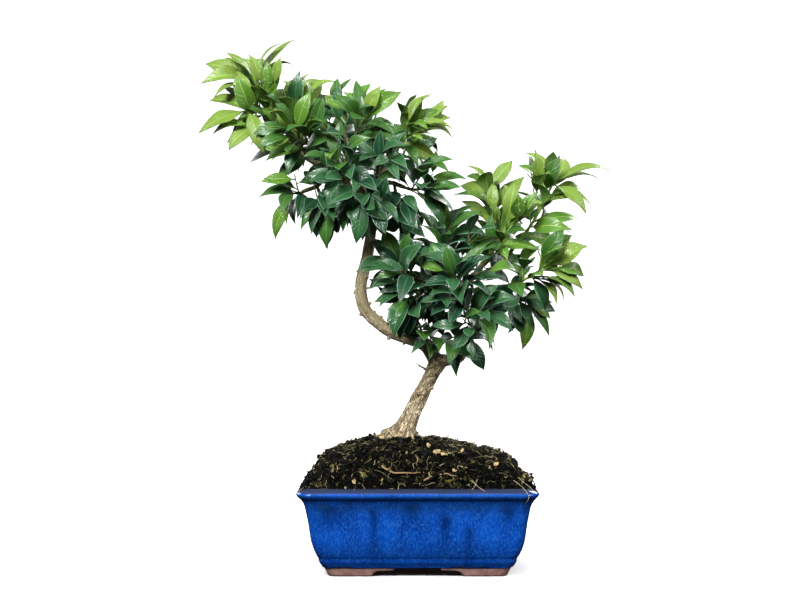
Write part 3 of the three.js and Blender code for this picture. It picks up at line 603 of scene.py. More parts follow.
def grow_sprigs(mass, crowd):
    """Finer twigs on the stem and on the twigs, by the same rule and inside the same reach."""
    mass.draw = seeded(mass.seed + SPRIG["seed"])
    more = DENSE.get(mass.name, 0)
    for shoot in list(mass.shoots):
        each = SPRIG["stem_each"] + 2 * more if shoot.id == 0 else SPRIG["each"] + more
        for k in range(each):
            t = lerp(SPRIG["first"], SPRIG["last"], (k + 0.5) / each)
            foot = shoot.curve.at(t)
            azimuth = k * GOLDEN_ANGLE + 2 * math.pi * mass.draw()
            heading = aimed(shoot.curve.tangent(t), SPRIG["open"], azimuth)
            heading.z += TWIG["lift"]
            heading.normalize()
            length = SPRIG["length"] * (SPRIG["least"] + SPRIG["spread"] * mass.draw())
            tip = foot + heading * length
            tip.z += TWIG["lift"] * length * SPRIG["tip_lift"]
            curve = Bow(foot, foot + heading * (0.5 * length), tip)
            number = SPRIG["number"] * (shoot.id + 1) + k
            sprig = SimpleNamespace(
                id=number, curve=curve, length=length, start=SPRIG["bare_share"], kind=SPRIG
            )
            shape = shoot_shape(curve, SPRIG)
            if distance_to_stem(tip, mass.stem) > mass.reach - SPRIG["inside"]:
                continue
            if crowd.touches(shape, lambda item: item.mass is mass and not item.leaf):
                continue
            mass.shoots.append(sprig)
            crowd.add(shape, mass=mass, shoot=number, leaf=False)
            grow_leaves_on(mass, sprig, SPRIG["leaves"], SPRIG["leaf_length"], crowd)


@lru_cache(maxsize=1)
def grown():
    """Limbs and masses, grown in the order of the solids: stems, outer leaves, twigs and leaves."""
    curves = grow_limbs()
    crowd = Crowd()
    for name, curve in curves.items():
        crowd.add(limb_keep_out(name, curve), mass=None, shoot=None, leaf=False)
    masses = []
    for name, (on, at, tip, reach, twigs, droop, seed, youth, ends) in MASSES.items():
        mass = SimpleNamespace(
            name=name, on=on, at=at, tip=tip, reach=reach, twigs=twigs, droop=droop, seed=seed,
            youth=youth, ends=ends, draw=seeded(seed), leaves=[],
        )
        grow_stem(mass, curves)
        crowd.add(shoot_shape(mass.stem, STEM), mass=mass, shoot=0, leaf=False)
        masses.append(mass)
    for grow in (grow_outer_leaves, grow_twigs, grow_leaves, grow_sprigs):
        for mass in masses:
            grow(mass, crowd)
    return curves, masses


# Meshes and pieces


class Gathering:
    """Points and faces of many small shapes that become one mesh."""

    def __init__(self):
        self.points = []
        self.faces = []
        self.kinds = []
        self.notes = []
        self.count = 0

    def add(self, points, faces, kind=0, note=0.0):
        """Kind is the material of all the faces, or a list with the material of each."""
        self.points.append(np.asarray(points, dtype=float))
        self.faces += [[i + self.count for i in face] for face in faces]
        self.kinds += [kind] * len(faces) if isinstance(kind, int) else list(kind)
        self.notes.append(np.broadcast_to(note, len(points)))
        self.count += len(points)

    def mesh(self, name, crease=None):
        return make_mesh(name, np.concatenate(self.points), self.faces, self.kinds, crease)


def make_mesh(name, points, faces, kinds=None, crease=None):
    """A smooth mesh from points in millimetres round the pot's middle, sharp at edges over crease degrees."""
    mesh = bpy.data.meshes.new(name)
    mesh.from_pydata(np.asarray(points) * MM + np.array(POT_MIDDLE), [], faces)
    if kinds is not None:
        mesh.polygons.foreach_set("material_index", kinds)
    mesh.shade_smooth()
    if crease:
        mesh.set_sharp_from_angle(angle=math.radians(crease))
    mesh.update()
    return mesh


def place_piece(name, mesh, materials, nodes=()):
    """A named piece of the plant that rides on its one body, and stands for nodes of the frame."""
    piece = bpy.data.objects.new(name, mesh)
    bpy.context.scene.collection.objects.link(piece)
    for material in materials:
        mesh.materials.append(material)
    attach(piece, "root")
    if nodes:
        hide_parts(*nodes)
    return piece


def coordinates(mesh):
    """A mesh's points in millimetres round the pot's middle."""
    flat = np.empty(len(mesh.vertices) * 3)
    mesh.vertices.foreach_get("co", flat)
    return (flat.reshape(-1, 3) - np.array(POT_MIDDLE)) / MM


def normals_of(mesh):
    flat = np.empty(len(mesh.vertices) * 3)
    mesh.vertex_normals.foreach_get("vector", flat)
    return flat.reshape(-1, 3)


def move_points(mesh, points):
    """Sets a mesh's points from millimetres round the pot's middle."""
    mesh.vertices.foreach_set("co", (points * MM + np.array(POT_MIDDLE)).ravel())
    mesh.update()


def noises(points, size, octaves=3, offset=0.0):
    """Fractal noise from about -1 to 1 at points in millimetres, with features of about a size."""
    shift = Vector((offset, offset, offset))
    return np.array([noise.fractal(Vector(p) / size + shift, 1.0, 2.0, octaves) for p in points])


def note_points(mesh, name, values):
    """Keeps a number, or three, for every point of a mesh, for its material to read."""
    values = np.asarray(values, dtype=float)
    kind, field = ("FLOAT_VECTOR", "vector") if values.ndim == 2 else ("FLOAT", "value")
    mesh.attributes.new(name, kind, "POINT").data.foreach_set(field, values.ravel())


def baked(piece):
    """The mesh that a piece's modifiers give, in place of its own."""
    mesh = bpy.data.meshes.new_from_object(piece.evaluated_get(bpy.context.evaluated_depsgraph_get()))
    piece.modifiers.clear()
    piece.data = mesh
    return mesh


def fused(piece, voxel, factor, times):
    """One skin over all that a piece's mesh holds, from cells of a size and then smoothed."""
    remesh = piece.modifiers.new("fuse", "REMESH")
    remesh.mode = "VOXEL"
    remesh.voxel_size = voxel
    smooth = piece.modifiers.new("blend", "SMOOTH")
    smooth.factor = factor
    smooth.iterations = times
    return baked(piece)


def turns(count):
    """Angles spread evenly round a circle."""
    return np.linspace(0, 2 * math.pi, count + 1)[:-1]


# Materials


def feed(socket, value):
    """Gives a socket a value, or links it from another socket or from the first output of a node."""
    if isinstance(value, bpy.types.Node):
        value = next(output for output in value.outputs if output.enabled)
    if isinstance(value, bpy.types.NodeSocket):
        socket.id_data.links.new(value, socket)
    else:
        socket.default_value = value


def add_node(tree, kind, inputs=None, stops=None, **settings):
    """Adds a node. Inputs are what feeds its sockets, and stops are a ramp's places and colours."""
    node = tree.nodes.new("ShaderNode" + kind)
    for name, value in settings.items():
        setattr(node, name, value)
    sockets = {socket.identifier: socket for socket in node.inputs}
    for name, value in (inputs or {}).items():
        feed(node.inputs[name] if isinstance(name, int) else sockets[name], value)
    if stops:
        ramp = node.color_ramp
        while len(ramp.elements) < len(stops):
            ramp.elements.new(1)
        for element, (place, colour) in zip(ramp.elements, stops):
            element.position = place
            element.color = colour
    return node


def new_material(name):
    """A material, the function that adds a node to it, its shader and its coordinates in metres."""
    material = bpy.data.materials.new(name)
    material.use_nodes = True
    tree = material.node_tree
    tree.nodes.clear()
    add = partial(add_node, tree)
    shader = add("BsdfPrincipled")
    add("OutputMaterial", {"Surface": shader})
    return material, add, shader, add("TexCoord").outputs["Object"]


def finish(shader, **values):
    """Feeds the shader's sockets, by their names with underscores."""
    for name, value in values.items():
        feed(shader.inputs[name.replace("_", " ")], value)


def pattern_scale(size):
    """The scale of a pattern from the size of its features in millimetres."""
    return 1 / (size * MM)


def opaque(colour):
    """A colour from the panel with its alpha."""
    return colour[:] + (1,)


# Heights between which the thin dark glaze of the rim begins, in metres.
RIM_LINE = (0.0712, 0.0728)
# A noise's cells are wider than the flecks that it leaves.
FLECK_CELL = 1.6


def glazed_stoneware(settings):
    """Cobalt glaze over fired stoneware, poured on and left to run. It is deep blue where it is thick, darker
    in the runs, thin and greenish at the corners and under the lip, and finely flecked all over. The dark of
    the runs also paints a shadow line where the wall turns in under the lip, and the pale band on the lip is
    partly glaze thinned over its edge and partly a painted highlight. The clouds are 16 mm wide and stretched
    to twice that by the run of the glaze."""
    material, add, shader, place = new_material("cobalt glaze on stoneware")
    height = add("SeparateXYZ", {"Vector": place}).outputs["Z"]
    run, thin, lip = (add("Attribute", attribute_name=name).outputs["Fac"] for name in ("run", "thin", "lip"))
    tall = add("Mapping", {"Vector": place, "Scale": (1, 1, 0.5)})
    cloud = add("TexNoise", {"Vector": tall, "Scale": pattern_scale(16), "Detail": 4, "Roughness": 0.6})
    body = add(
        "ValToRGB", {"Fac": cloud},
        [(0.3, linear("053082")), (0.5, opaque(settings.glaze_colour)), (0.7, linear("0b4fb6"))],
    )
    fleck_scale = 1 / (settings.fleck_size * FLECK_CELL)
    fleck = add("TexNoise", {"Vector": tall, "Scale": fleck_scale, "Detail": 2, "Roughness": 0.7})
    fleck_share = add(
        "MapRange", {"Value": fleck, "From Min": 0.47, "From Max": 0.66, "To Min": 0, "To Max": 0.75}
    )
    flecked = add(
        "Mix", {"Factor_Float": fleck_share, "A_Color": body, "B_Color": opaque(settings.fleck_colour)},
        data_type="RGBA",
    )
    # Darker in the runs, and along the painted shadow line under the lip.
    runs_and_lip_shadow = add(
        "Mix", {"Factor_Float": run, "A_Color": flecked, "B_Color": linear("001546")}, data_type="RGBA"
    )
    thinned = add(
        "Mix", {"Factor_Float": thin, "A_Color": runs_and_lip_shadow, "B_Color": linear("14304a")}, data_type="RGBA"
    )
    # The pale band on the lip is partly glaze thinned over its edge and partly a painted highlight.
    patchy = add("Math", {0: fleck, 1: 2.2, 2: -0.4}, operation="MULTIPLY_ADD", use_clamp=True)
    lip_break_and_highlight_share = add("Math", {0: lip, 1: patchy}, operation="MULTIPLY")
    lip_break_and_highlight = add(
        "Mix", {"Factor_Float": lip_break_and_highlight_share, "A_Color": thinned, "B_Color": opaque(settings.fleck_colour)},
        data_type="RGBA",
    )
    low, high = RIM_LINE
    rim_share = add(
        "MapRange", {"Value": height, "From Min": low, "From Max": high, "To Min": 0, "To Max": 0.94}
    )
    rimmed = add(
        "Mix", {"Factor_Float": rim_share, "A_Color": lip_break_and_highlight, "B_Color": linear("2e3345")}, data_type="RGBA"
    )
    bump = add("Bump", {"Height": fleck, "Strength": 0.2, "Distance": 0.3 * MM})
    finish(shader, Base_Color=rimmed, Normal=bump, Roughness=0.12, IOR=1.5)
    return material


def fired_clay(settings):
    """Unglazed stoneware clay, pressed and fired: matt and pinkish brown, mottled every 6 mm, with grit.
    The grit is 0.5 mm wide and drawn at 1.2 mm, so that it shows."""
    material, add, shader, place = new_material("bare fired clay")
    mottle = add("TexNoise", {"Vector": place, "Scale": pattern_scale(6), "Detail": 6})
    colour = add(
        "ValToRGB", {"Fac": mottle},
        [(0.3, linear("8c6862")), (0.52, opaque(settings.clay_colour)), (0.75, linear("b8938c"))],
    )
    grit = add("TexNoise", {"Vector": place, "Scale": pattern_scale(1.2), "Detail": 4})
    bump = add("Bump", {"Height": grit, "Strength": 0.5, "Distance": 0.4 * MM})
    finish(shader, Base_Color=colour, Normal=bump, Roughness=0.82, IOR=1.5)
    return material


def plain_matter(name, colour, roughness, grain, depth=0.15):
    """Loose natural matter: a plain colour with a fine grain, in millimetres, that breaks up the light."""
    material, add, shader, place = new_material(name)
    noise_node = add("TexNoise", {"Vector": place, "Scale": pattern_scale(grain), "Detail": 3})
    bump = add("Bump", {"Height": noise_node, "Strength": 0.6, "Distance": depth * MM})
    finish(
        shader, Base_Color=linear(colour), Normal=bump, Roughness=roughness, IOR=1.45,
        Specular_IOR_Level=0.08,
    )
    return material


def moist_peat():
    """Moist peat: almost black, broken into crumbs of 2.5 mm, paler in patches where it has dried."""
    material, add, shader, place = new_material("moist peat")
    crumb = add("TexNoise", {"Vector": place, "Scale": pattern_scale(2.5), "Detail": 6})
    colour = add(
        "ValToRGB", {"Fac": crumb},
        [(0.35, linear("020302")), (0.55, linear("070806")), (0.78, linear("191a14"))],
    )
    bump = add("Bump", {"Height": crumb, "Strength": 0.9, "Distance": 1.2 * MM})
    finish(shader, Base_Color=colour, Normal=bump, Roughness=0.85, IOR=1.4, Specular_IOR_Level=0.05)
    return material


def tree_bark(settings):
    """Thin citrus bark, grown: pale tan plates between dark upright fissures and hair cracks, smoother
    and more olive on young wood. The cracks are 2.4 mm apart and the green patches 7 mm wide. The grain is
    finer than shows, and drawn at 0.9 mm."""
    material, add, shader, _ = new_material("grown citrus bark")
    grain = add("Attribute", attribute_name="grain").outputs["Vector"]
    fissure, young, tone = (
        add("Attribute", attribute_name=name).outputs["Fac"] for name in ("fissure", "young", "tone")
    )
    fine = add("TexNoise", {"Vector": grain, "Scale": pattern_scale(0.9), "Detail": 5, "Roughness": 0.65})
    bent = add(
        "VectorMath", {"Vector": fine.outputs["Color"], "Vector_001": (MM, MM, MM)}, operation="MULTIPLY"
    )
    moved = add("VectorMath", {"Vector": grain, "Vector_001": bent}, operation="ADD")
    hair = add("TexVoronoi", {"Vector": moved, "Scale": pattern_scale(2.4)}, feature="DISTANCE_TO_EDGE")
    crack = add(
        "MapRange", {"Value": hair, "From Min": 0.02, "From Max": 0.15, "To Min": 0.85, "To Max": 0}
    )
    mottle = add("Math", {0: tone, 1: 0.25, 2: fine}, operation="MULTIPLY_ADD")
    tan = add(
        "ValToRGB", {"Fac": mottle},
        [(0.34, linear("93794f")), (0.5, opaque(settings.bark_colour)), (0.7, linear("ecdcb8"))],
    )
    patch = add("TexNoise", {"Vector": grain, "Scale": pattern_scale(7), "Detail": 3})
    green_share = add("Math", {0: patch, 1: 0.7, 2: -0.27}, operation="MULTIPLY_ADD")
    green_amount = add("Math", {0: young, 1: green_share}, operation="ADD", use_clamp=True)
    greened = add(
        "Mix", {"Factor_Float": green_amount, "A_Color": tan, "B_Color": opaque(settings.green_colour)},
        data_type="RGBA",
    )
    smooth = add("Math", {0: 1.0, 1: young}, operation="SUBTRACT")
    split = add("Math", {0: crack, 1: smooth}, operation="MULTIPLY")
    dark = add("Math", {0: fissure, 1: split}, operation="MAXIMUM")
    cracked = add(
        "Mix", {"Factor_Float": dark, "A_Color": greened, "B_Color": linear("2b1f14")}, data_type="RGBA"
    )
    depth = add("Math", {0: fine, 1: dark}, operation="SUBTRACT")
    bump = add("Bump", {"Height": depth, "Strength": 0.8, "Distance": 0.5 * MM})
    finish(shader, Base_Color=cracked, Normal=bump, Roughness=0.8, IOR=1.45, Specular_IOR_Level=0.3)
    return material


def leaf_matter(name, colour, roughness):
    """A leaf's waxy skin: a plain colour and a soft gloss that sinks along the side veins, and a little
    light that passes into the blade."""
    material, add, shader, _ = new_material(name)
    vein = add("Attribute", attribute_name="vein").outputs["Fac"]
    ridge = add("Math", {0: vein, 1: 0.5}, operation="PINGPONG")
    groove = add("MapRange", {"Value": ridge, "From Min": 0, "From Max": 0.16, "To Min": 0, "To Max": 1})
    bump = add("Bump", {"Height": groove, "Strength": 0.5, "Distance": 0.3 * MM})
    finish(
        shader, Base_Color=linear(colour), Normal=bump, Roughness=roughness, IOR=1.45,
        Subsurface_Weight=0.08, Subsurface_Scale=2 * MM, Specular_IOR_Level=0.55,
    )
    return material


# Pot and feet


def rectangle_ring(half, radius, z, middle=(0, 0)):
    """A level ring: a rectangle with round corners, from half sizes in millimetres."""
    arcs = []
    for corner, (sx, sy) in enumerate(((1, 1), (-1, 1), (-1, -1), (1, -1))):
        angles = (corner + np.linspace(0, 1, CORNER["steps"])) * math.pi / 2
        x = sx * (half[0] - radius) + radius * np.cos(angles)
        y = sy * (half[1] - radius) + radius * np.sin(angles)
        arcs.append(np.column_stack((x, y)))
    outline = []
    for corner, arc in enumerate(arcs):
        following = arcs[(corner + 1) % 4]
        shares = np.linspace(0, 1, EDGE_STEPS[corner % 2] + 1)[1:-1, None]
        outline += [arc, arc[-1] * (1 - shares) + following[0] * shares]
    flat = np.concatenate(outline) + np.array(middle)
    return np.column_stack((flat, np.full(len(flat), float(z))))


def pot_ring(inset, z):
    radius = max(CORNER["least"], CORNER["rim"] - CORNER["shrink"] * inset)
    return rectangle_ring((RIM_HALF[0] - inset, RIM_HALF[1] - inset), radius, z)


def pot_profile():
    """The wall's outline, rounded between its corners: outside from the floor to the rim, then inside."""
    walls = Spline([(inset, z, 0) for inset, z in POT_OUTSIDE + POT_INSIDE])
    count = PROFILE_STEPS * (len(walls.points) - 1)
    return [walls.at(i / count) for i in range(count + 1)]


# Swells of the glaze, where it ran, and waves of the pressed wall: sizes in millimetres.
SWELL = dict(size=14, stretch=(1, 1, 0.18), wave=45)
# Dark runs in the glaze: the place along the wall, half width, top and length in millimetres.
GLAZE_RUNS = {
    "front": [
        (-37, 3.2, 56, 46), (23, 4, 50, 34), (41, 3, 40, 30), (-74, 9, 58, 26), (-6, 7, 60, 18),
        (74, 6, 58, 20),
    ],
    "back": [(-52, 4, 56, 40), (12, 5, 58, 30), (60, 4, 54, 44)],
    "right": [(-30, 5, 58, 36), (24, 4, 52, 40)],
    "left": [(34, 4, 56, 42), (-18, 6, 58, 24)],
}
# The glaze wanders this far to and fro, in patches of a size, and a run fades in over its top, in
# millimetres.
WANDER = dict(reach=3, size=12)
RUN_FADE = 6
# Level bands in the glaze: height and half width in millimetres.
UNDER_LIP = (60, 5)
# The band where the wall turns in under the lip is painted shadow.
LIP_SHADOW_LINE = (66.6, 1.2)
# The pale band on the lip is partly thinned glaze and partly a painted highlight.
LIP_BREAK_AND_HIGHLIGHT = (69.8, 1.7)
FOOT_POOL = (13, 4)
# Thin glaze on the corners: they start where the shares of the way to both walls add up to this much.
WORN = dict(start=1.72, fade=0.16, top=66)
# What lies further out than this is the outside of a long or a short wall, in millimetres.
LONG_WALL = 40
SHORT_WALL = 70


def band(z, centre, half):
    """How near heights are to the middle of a level band, from 0 to 1."""
    return np.exp(-(((z - centre) / half) ** 2))


class PotSettings(bpy.types.PropertyGroup):
    glaze_colour: FloatVectorProperty(
        name="Glaze", description="Colour of the glaze where it is thick", subtype="COLOR",
        default=linear("0842a4")[:3], min=0, max=1,
    )
    fleck_colour: FloatVectorProperty(
        name="Flecks", description="Colour of the lighter flecks in the glaze", subtype="COLOR",
        default=linear("2468c0")[:3], min=0, max=1,
    )
    clay_colour: FloatVectorProperty(
        name="Clay", description="Colour of the bare clay of the feet", subtype="COLOR",
        default=linear("a87f79")[:3], min=0, max=1,
    )
    fleck_size: FloatProperty(
        name="Fleck size", description="Width of a fleck in the glaze", default=0.0009, min=0.0003,
        unit="LENGTH",
    )
    glaze_relief: FloatProperty(
        name="Glaze relief", description="How far the glaze swells where it ran", default=0.00035, min=0,
        unit="LENGTH",
    )


class BONSAI_OT_pot(bpy.types.Operator):
    """Makes the glazed pot with its rim, walls, floor and drain holes"""

    bl_idname = "bonsai.pot"
    bl_label = "Pot"

    def execute(self, context):
        settings = context.scene.bonsai_pot
        mesh = make_mesh("pot_glazed", *loft([pot_ring(point.x, point.y) for point in pot_profile()]))
        materials = [glazed_stoneware(settings), fired_clay(settings)]
        pot = place_piece("pot_glazed", mesh, materials, ["pot"])
        self.swell(mesh, settings.glaze_relief / MM)
        self.note_glaze(mesh)
        self.drill(pot)
        self.bare_underside(pot.data)
        return {"FINISHED"}

    def swell(self, mesh, relief):
        """The glaze is thicker in upright runs, and the pressed wall waves a little under it."""
        points = coordinates(mesh)
        runs = noises(points * SWELL["stretch"], SWELL["size"])
        waves = noises(points, SWELL["wave"], 1, 7)
        outside = (points[:, 2] > FOOT_HEIGHT + 1) & (points[:, 2] < POT_OUTSIDE[-1][1])
        move_points(mesh, points + normals_of(mesh) * ((runs * relief + waves * relief) * outside)[:, None])

    def note_glaze(self, mesh):
        """Where the glaze ran down thick and where it is thin: at the corners and under the lip. The run
        share also carries a painted shadow line where the wall turns in under the lip.
        """
        points = coordinates(mesh)
        x, y, z = points.T
        wander = noises(points, WANDER["size"], 2, 21)
        walls = {
            "front": (x, -y, LONG_WALL), "back": (x, y, LONG_WALL),
            "right": (y, x, SHORT_WALL), "left": (y, -x, SHORT_WALL),
        }
        run = np.zeros(len(points))
        for wall, runs in GLAZE_RUNS.items():
            along_wall, facing, outer = walls[wall]
            for centre, width, top, length in runs:
                streak = band(along_wall - WANDER["reach"] * wander, centre, width)
                foot_fade = np.clip((z - top + length) / length, 0, 1)
                top_fade = np.clip((top + RUN_FADE - z) / RUN_FADE, 0, 1)
                run = np.maximum(run, streak * foot_fade * top_fade * (facing > outer))
        outward = np.abs(x) / RIM_HALF[0] + np.abs(y) / RIM_HALF[1]
        corner = np.clip((outward - WORN["start"]) / WORN["fade"], 0, 1) * (z < WORN["top"])
        under_lip = band(z - WANDER["reach"] * wander, *UNDER_LIP)
        thin = np.maximum(0.6 * corner, 0.55 * under_lip) * (0.75 + 0.6 * wander)
        # Partly glaze thinned over the lip's edge and partly a painted highlight on it.
        lip = band(z, *LIP_BREAK_AND_HIGHLIGHT) * (0.6 + 0.5 * wander)
        # The band under the lip is painted shadow, darkened together with the runs.
        thick = np.maximum(0.8 * run + 0.4 * band(z, *FOOT_POOL), 0.9 * band(z, *LIP_SHADOW_LINE))
        for name, share in (("run", thick), ("thin", thin), ("lip", lip)):
            note_points(mesh, name, np.clip(share, 0, 1))

    def drill(self, pot):
        """Two drain holes through the floor."""
        for side in (-1, 1):
            angles = turns(DRAIN_HOLE["sides"])
            circle = np.column_stack((np.cos(angles), np.sin(angles), 0 * angles)) * DRAIN_HOLE["radius"]
            circle[:, 0] += side * DRAIN_HOLE["offset"]
            mesh = make_mesh("drain", *loft([circle, circle + (0, 0, 2 * FLOOR_TOP)]))
            hole = bpy.data.objects.new("drain", mesh)
            bpy.context.scene.collection.objects.link(hole)
            cut = pot.modifiers.new("drain", "BOOLEAN")
            cut.object = hole
            cut.operation = "DIFFERENCE"
            baked(pot)
            bpy.data.objects.remove(hole)

    def bare_underside(self, mesh):
        """The glaze ends above the feet, and the floor's underside and the drain holes are bare clay."""
        inside = [half - POT_OUTSIDE[0][0] - 1 for half in RIM_HALF]
        for face in mesh.polygons:
            centre = (face.center - POT_MIDDLE) / MM
            under = face.normal.z < -FACING_DOWN and centre.z < FOOT_HEIGHT + BARE_OVER_FEET
            hole = abs(centre.x) < inside[0] and abs(centre.y) < inside[1] and centre.z < FLOOR_TOP
            face.material_index = 1 if under or hole else 0
        mesh.set_sharp_from_angle(angle=math.radians(POT_CREASE))


# Wear of the feet: cells and smoothing that round the edges, and bumps in millimetres.
WEAR = dict(voxel=1.1, smooth=0.5, times=2, size=5, bumps=0.12)


class BONSAI_OT_feet(bpy.types.Operator):
    """Makes the four clay feet, with worn edges, from the feet of the frame"""

    bl_idname = "bonsai.feet"
    bl_label = "Feet"

    def execute(self, context):
        clay = fired_clay(context.scene.bonsai_pot)
        for end in ("front", "back"):
            for side in ("left", "right"):
                name = f"foot_{end}_{side}"
                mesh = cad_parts[name].data.copy()
                mesh.name = name + "_clay"
                mesh.materials.clear()
                foot = place_piece(name + "_clay", mesh, [clay], [name])
                self.wear(foot)
        return {"FINISHED"}

    def wear(self, foot):
        """Rounds the edges as by pressing and firing, and leaves the surface a little uneven."""
        mesh = fused(foot, WEAR["voxel"] * MM, WEAR["smooth"], WEAR["times"])
        points = coordinates(mesh)
        rough = noises(points, WEAR["size"], 3) * WEAR["bumps"]
        moved = points + normals_of(mesh) * rough[:, None]
        moved[:, 2] = np.clip(moved[:, 2], 0, FOOT_HEIGHT)
        move_points(mesh, moved)
        mesh.shade_smooth()


# Soil


def heap_ring(inward, height):
    """A ring of the heap. Inward is 0 at the pot's inner wall and 1 at the edge of the flat top."""
    inset = POT_INSIDE[1][0] + GAP
    half = [lerp(RIM_HALF[i] - inset, HEAP_HALF[i], inward) for i in range(2)]
    corner = half[1] * lerp(*HEAP_ROUNDNESS, math.sqrt(inward))
    middle = [m * inward for m in HEAP_MIDDLE]
    return rectangle_ring(half, corner, height, middle)


class SoilSettings(bpy.types.PropertyGroup):
    crumbs: IntProperty(name="Crumbs", description="Crumbs of peat on the heap", default=3000, min=0)
    clods: IntProperty(name="Clods", description="Bigger lumps on the heap", default=700, min=0)
    spilt: IntProperty(name="Spilt", description="Crumbs on the rim at its ends", default=900, min=0)
    fibres: IntProperty(name="Fibres", description="Root fibres on the heap", default=1000, min=0)
    shreds: IntProperty(name="Shreds", description="Bent shreds of peat and leaf", default=2000, min=0)
    flakes: IntProperty(name="Flakes", description="Flakes of bark and leaf", default=700, min=0)
    lump: FloatProperty(
        name="Lumps", description="Height of the lumps in the heap", default=0.0038, min=0, unit="LENGTH"
    )


class BONSAI_OT_soil(bpy.types.Operator):
    """Makes the heap of peat that fills the pot"""

    bl_idname = "bonsai.soil"
    bl_label = "Soil"

    def execute(self, context):
        settings = context.scene.bonsai_soil
        rings = [pot_ring(inset + GAP, z) for inset, z in reversed(POT_INSIDE[1:])]
        steep = np.linspace(0, HEAP_STEPS["steep"], HEAP_STEPS["foot"] + 1)[1:]
        gentle = np.linspace(HEAP_STEPS["steep"], 1, HEAP_STEPS["slope"] + 1)[1:]
        shares = np.concatenate((steep, gentle))
        rise = np.interp(shares, *zip((0, 0), *HEAP_PROFILE))
        rings += [heap_ring(s, lerp(SOIL_EDGE, SOIL_TOP, r)) for s, r in zip(shares, rise)]
        middle = np.array((*HEAP_MIDDLE, 0))
        flat = rings[-1]
        for share in np.linspace(0, 1, HEAP_STEPS["top"] + 1)[1:-1]:
            rings.append((flat - middle) * (1 - share, 1 - share, 1) + middle)
        mesh = make_mesh("soil_heap", *loft(rings))
        points = coordinates(mesh)
        above = np.clip((points[:, 2] - SOIL_EDGE) / LUMPS["fade"], 0, 1)
        lumps = noises(points, LUMPS["size"], 4) * settings.lump / MM
        lumps = lumps + noises(points, LUMPS["fine_size"], 3, 5) * LUMPS["fine"] - LUMPS["sunk"]
        move_points(mesh, points + normals_of(mesh) * (lumps * above)[:, None])
        place_piece("soil_heap", mesh, [moist_peat()], ["soil"])
        return {"FINISHED"}


def blob():
    """Twelve points on a ball and the twenty faces between them."""
    golden = (1 + math.sqrt(5)) / 2
    points = []
    for a in (-1, 1):
        for b in (-golden, golden):
            points += [(0, a, b), (a, b, 0), (b, 0, a)]
    points = np.array(points) / math.sqrt(1 + golden**2)
    faces = []
    for i in range(12):
        for j in range(i + 1, 12):
            for k in range(j + 1, 12):
                a, b, c = points[[i, j, k]]
                if max(np.linalg.norm(a - b), np.linalg.norm(b - c), np.linalg.norm(c - a)) < 1.1:
                    faces.append((i, j, k) if np.dot(np.cross(b - a, c - a), a) > 0 else (i, k, j))
    return points, faces


def halved(points, faces):
    """The same ball with every edge halved, so with four times the faces."""
    points = [tuple(p) for p in points]
    middles = {}

    def middle(i, j):
        key = min(i, j), max(i, j)
        if key not in middles:
            half = np.array(points[i]) + points[j]
            points.append(tuple(half / np.linalg.norm(half)))
            middles[key] = len(points) - 1
        return middles[key]

    finer = []
    for i, j, k in faces:
        a, b, c = middle(i, j), middle(j, k), middle(k, i)
        finer += [(i, a, c), (j, b, a), (k, c, b), (a, b, c)]
    return np.array(points), finer


CRUMB, CRUMB_FACES = blob()
CLOD, CLOD_FACES = halved(CRUMB, CRUMB_FACES)


def turn_matrix(rng):
    """A random turn, as a 3 by 3 matrix."""
    q, _ = np.linalg.qr(rng.normal(size=(3, 3)))
    return q * np.sign(np.linalg.det(q))


# Loose matter. A kind has a name, colour, roughness and grain in millimetres, and shares tell how much of
# what is strewn is of each kind. Sizes, radii and lengths are a least value in millimetres, what may come
# on top of it and, where it is given, the power that makes big ones rarer.
CRUMBS = dict(
    kinds=[
        ("black peat crumb", "040504", 0.6, 0.5),
        ("dark peat crumb", "0c0f0c", 0.7, 0.5),
        ("brown peat crumb", "211e17", 0.8, 0.5),
        ("mossy crumb", "3f4424", 0.8, 0.5),
    ],
    shares=(0.74, 0.2, 0.045, 0.015), range=(0.4, 1.1), lift=0.35, stretch=(0.4, 1.3), jag=(0.6, 1.3),
)
CLODS = dict(size=(1.1, 2), lift=0.2, stretch=(0.5, 1.2), pits=0.8, pit=0.5, paler=0.3)
# The pile at the ends of the rim: insets from its edge, the bare part at the corners, foot and slope.
SPILT = dict(size=(0.5, 1.3), inset=(3.2, 12), corner=9, foot=3.5, slope=1.15)
FIBRES = dict(
    kinds=[
        ("dark root fibre", "3a3424", 0.7, 0.4),
        ("khaki root fibre", "817a52", 0.7, 0.4),
        ("pale root hair", "c9bb90", 0.65, 0.4),
        ("tan surface root", "a58a62", 0.75, 0.9, 0.3),
    ],
    shares=(0.5, 0.34, 0.16, 0), length=(5, 17), radius=(0.12, 0.22),
)
# Shares of its radius along a fibre, a hair and a root, and the kinds of the last two.
FIBRE_TAPER = (1, 0.5)
HAIR_TAPER = (1, 0.6)
ROOT_TAPER = (1, 1.15, 0.8, 0.6)
HAIR_KIND = 2
ROOT_KIND = 3
# How far a root stands out of the heap, as a share of its radius.
ROOT_LIFT = 0.8
SHREDS = dict(
    kinds=[
        ("wet black shred", "070907", 0.45, 0.6),
        ("dark brown shred", "181610", 0.55, 0.6),
        ("greenish shred", "262c1c", 0.55, 0.6),
        ("khaki shred", "67673f", 0.65, 0.6),
        ("straw shred", "b5ab86", 0.65, 0.6),
    ],
    shares=(0.46, 0.18, 0.2, 0.08, 0.08), length=(3, 8, 1.5), width=(0.22, 0.5), raised=(0, 2.6),
    flat=0.6, end=0.2, belly=(0.06, 0.9),
)
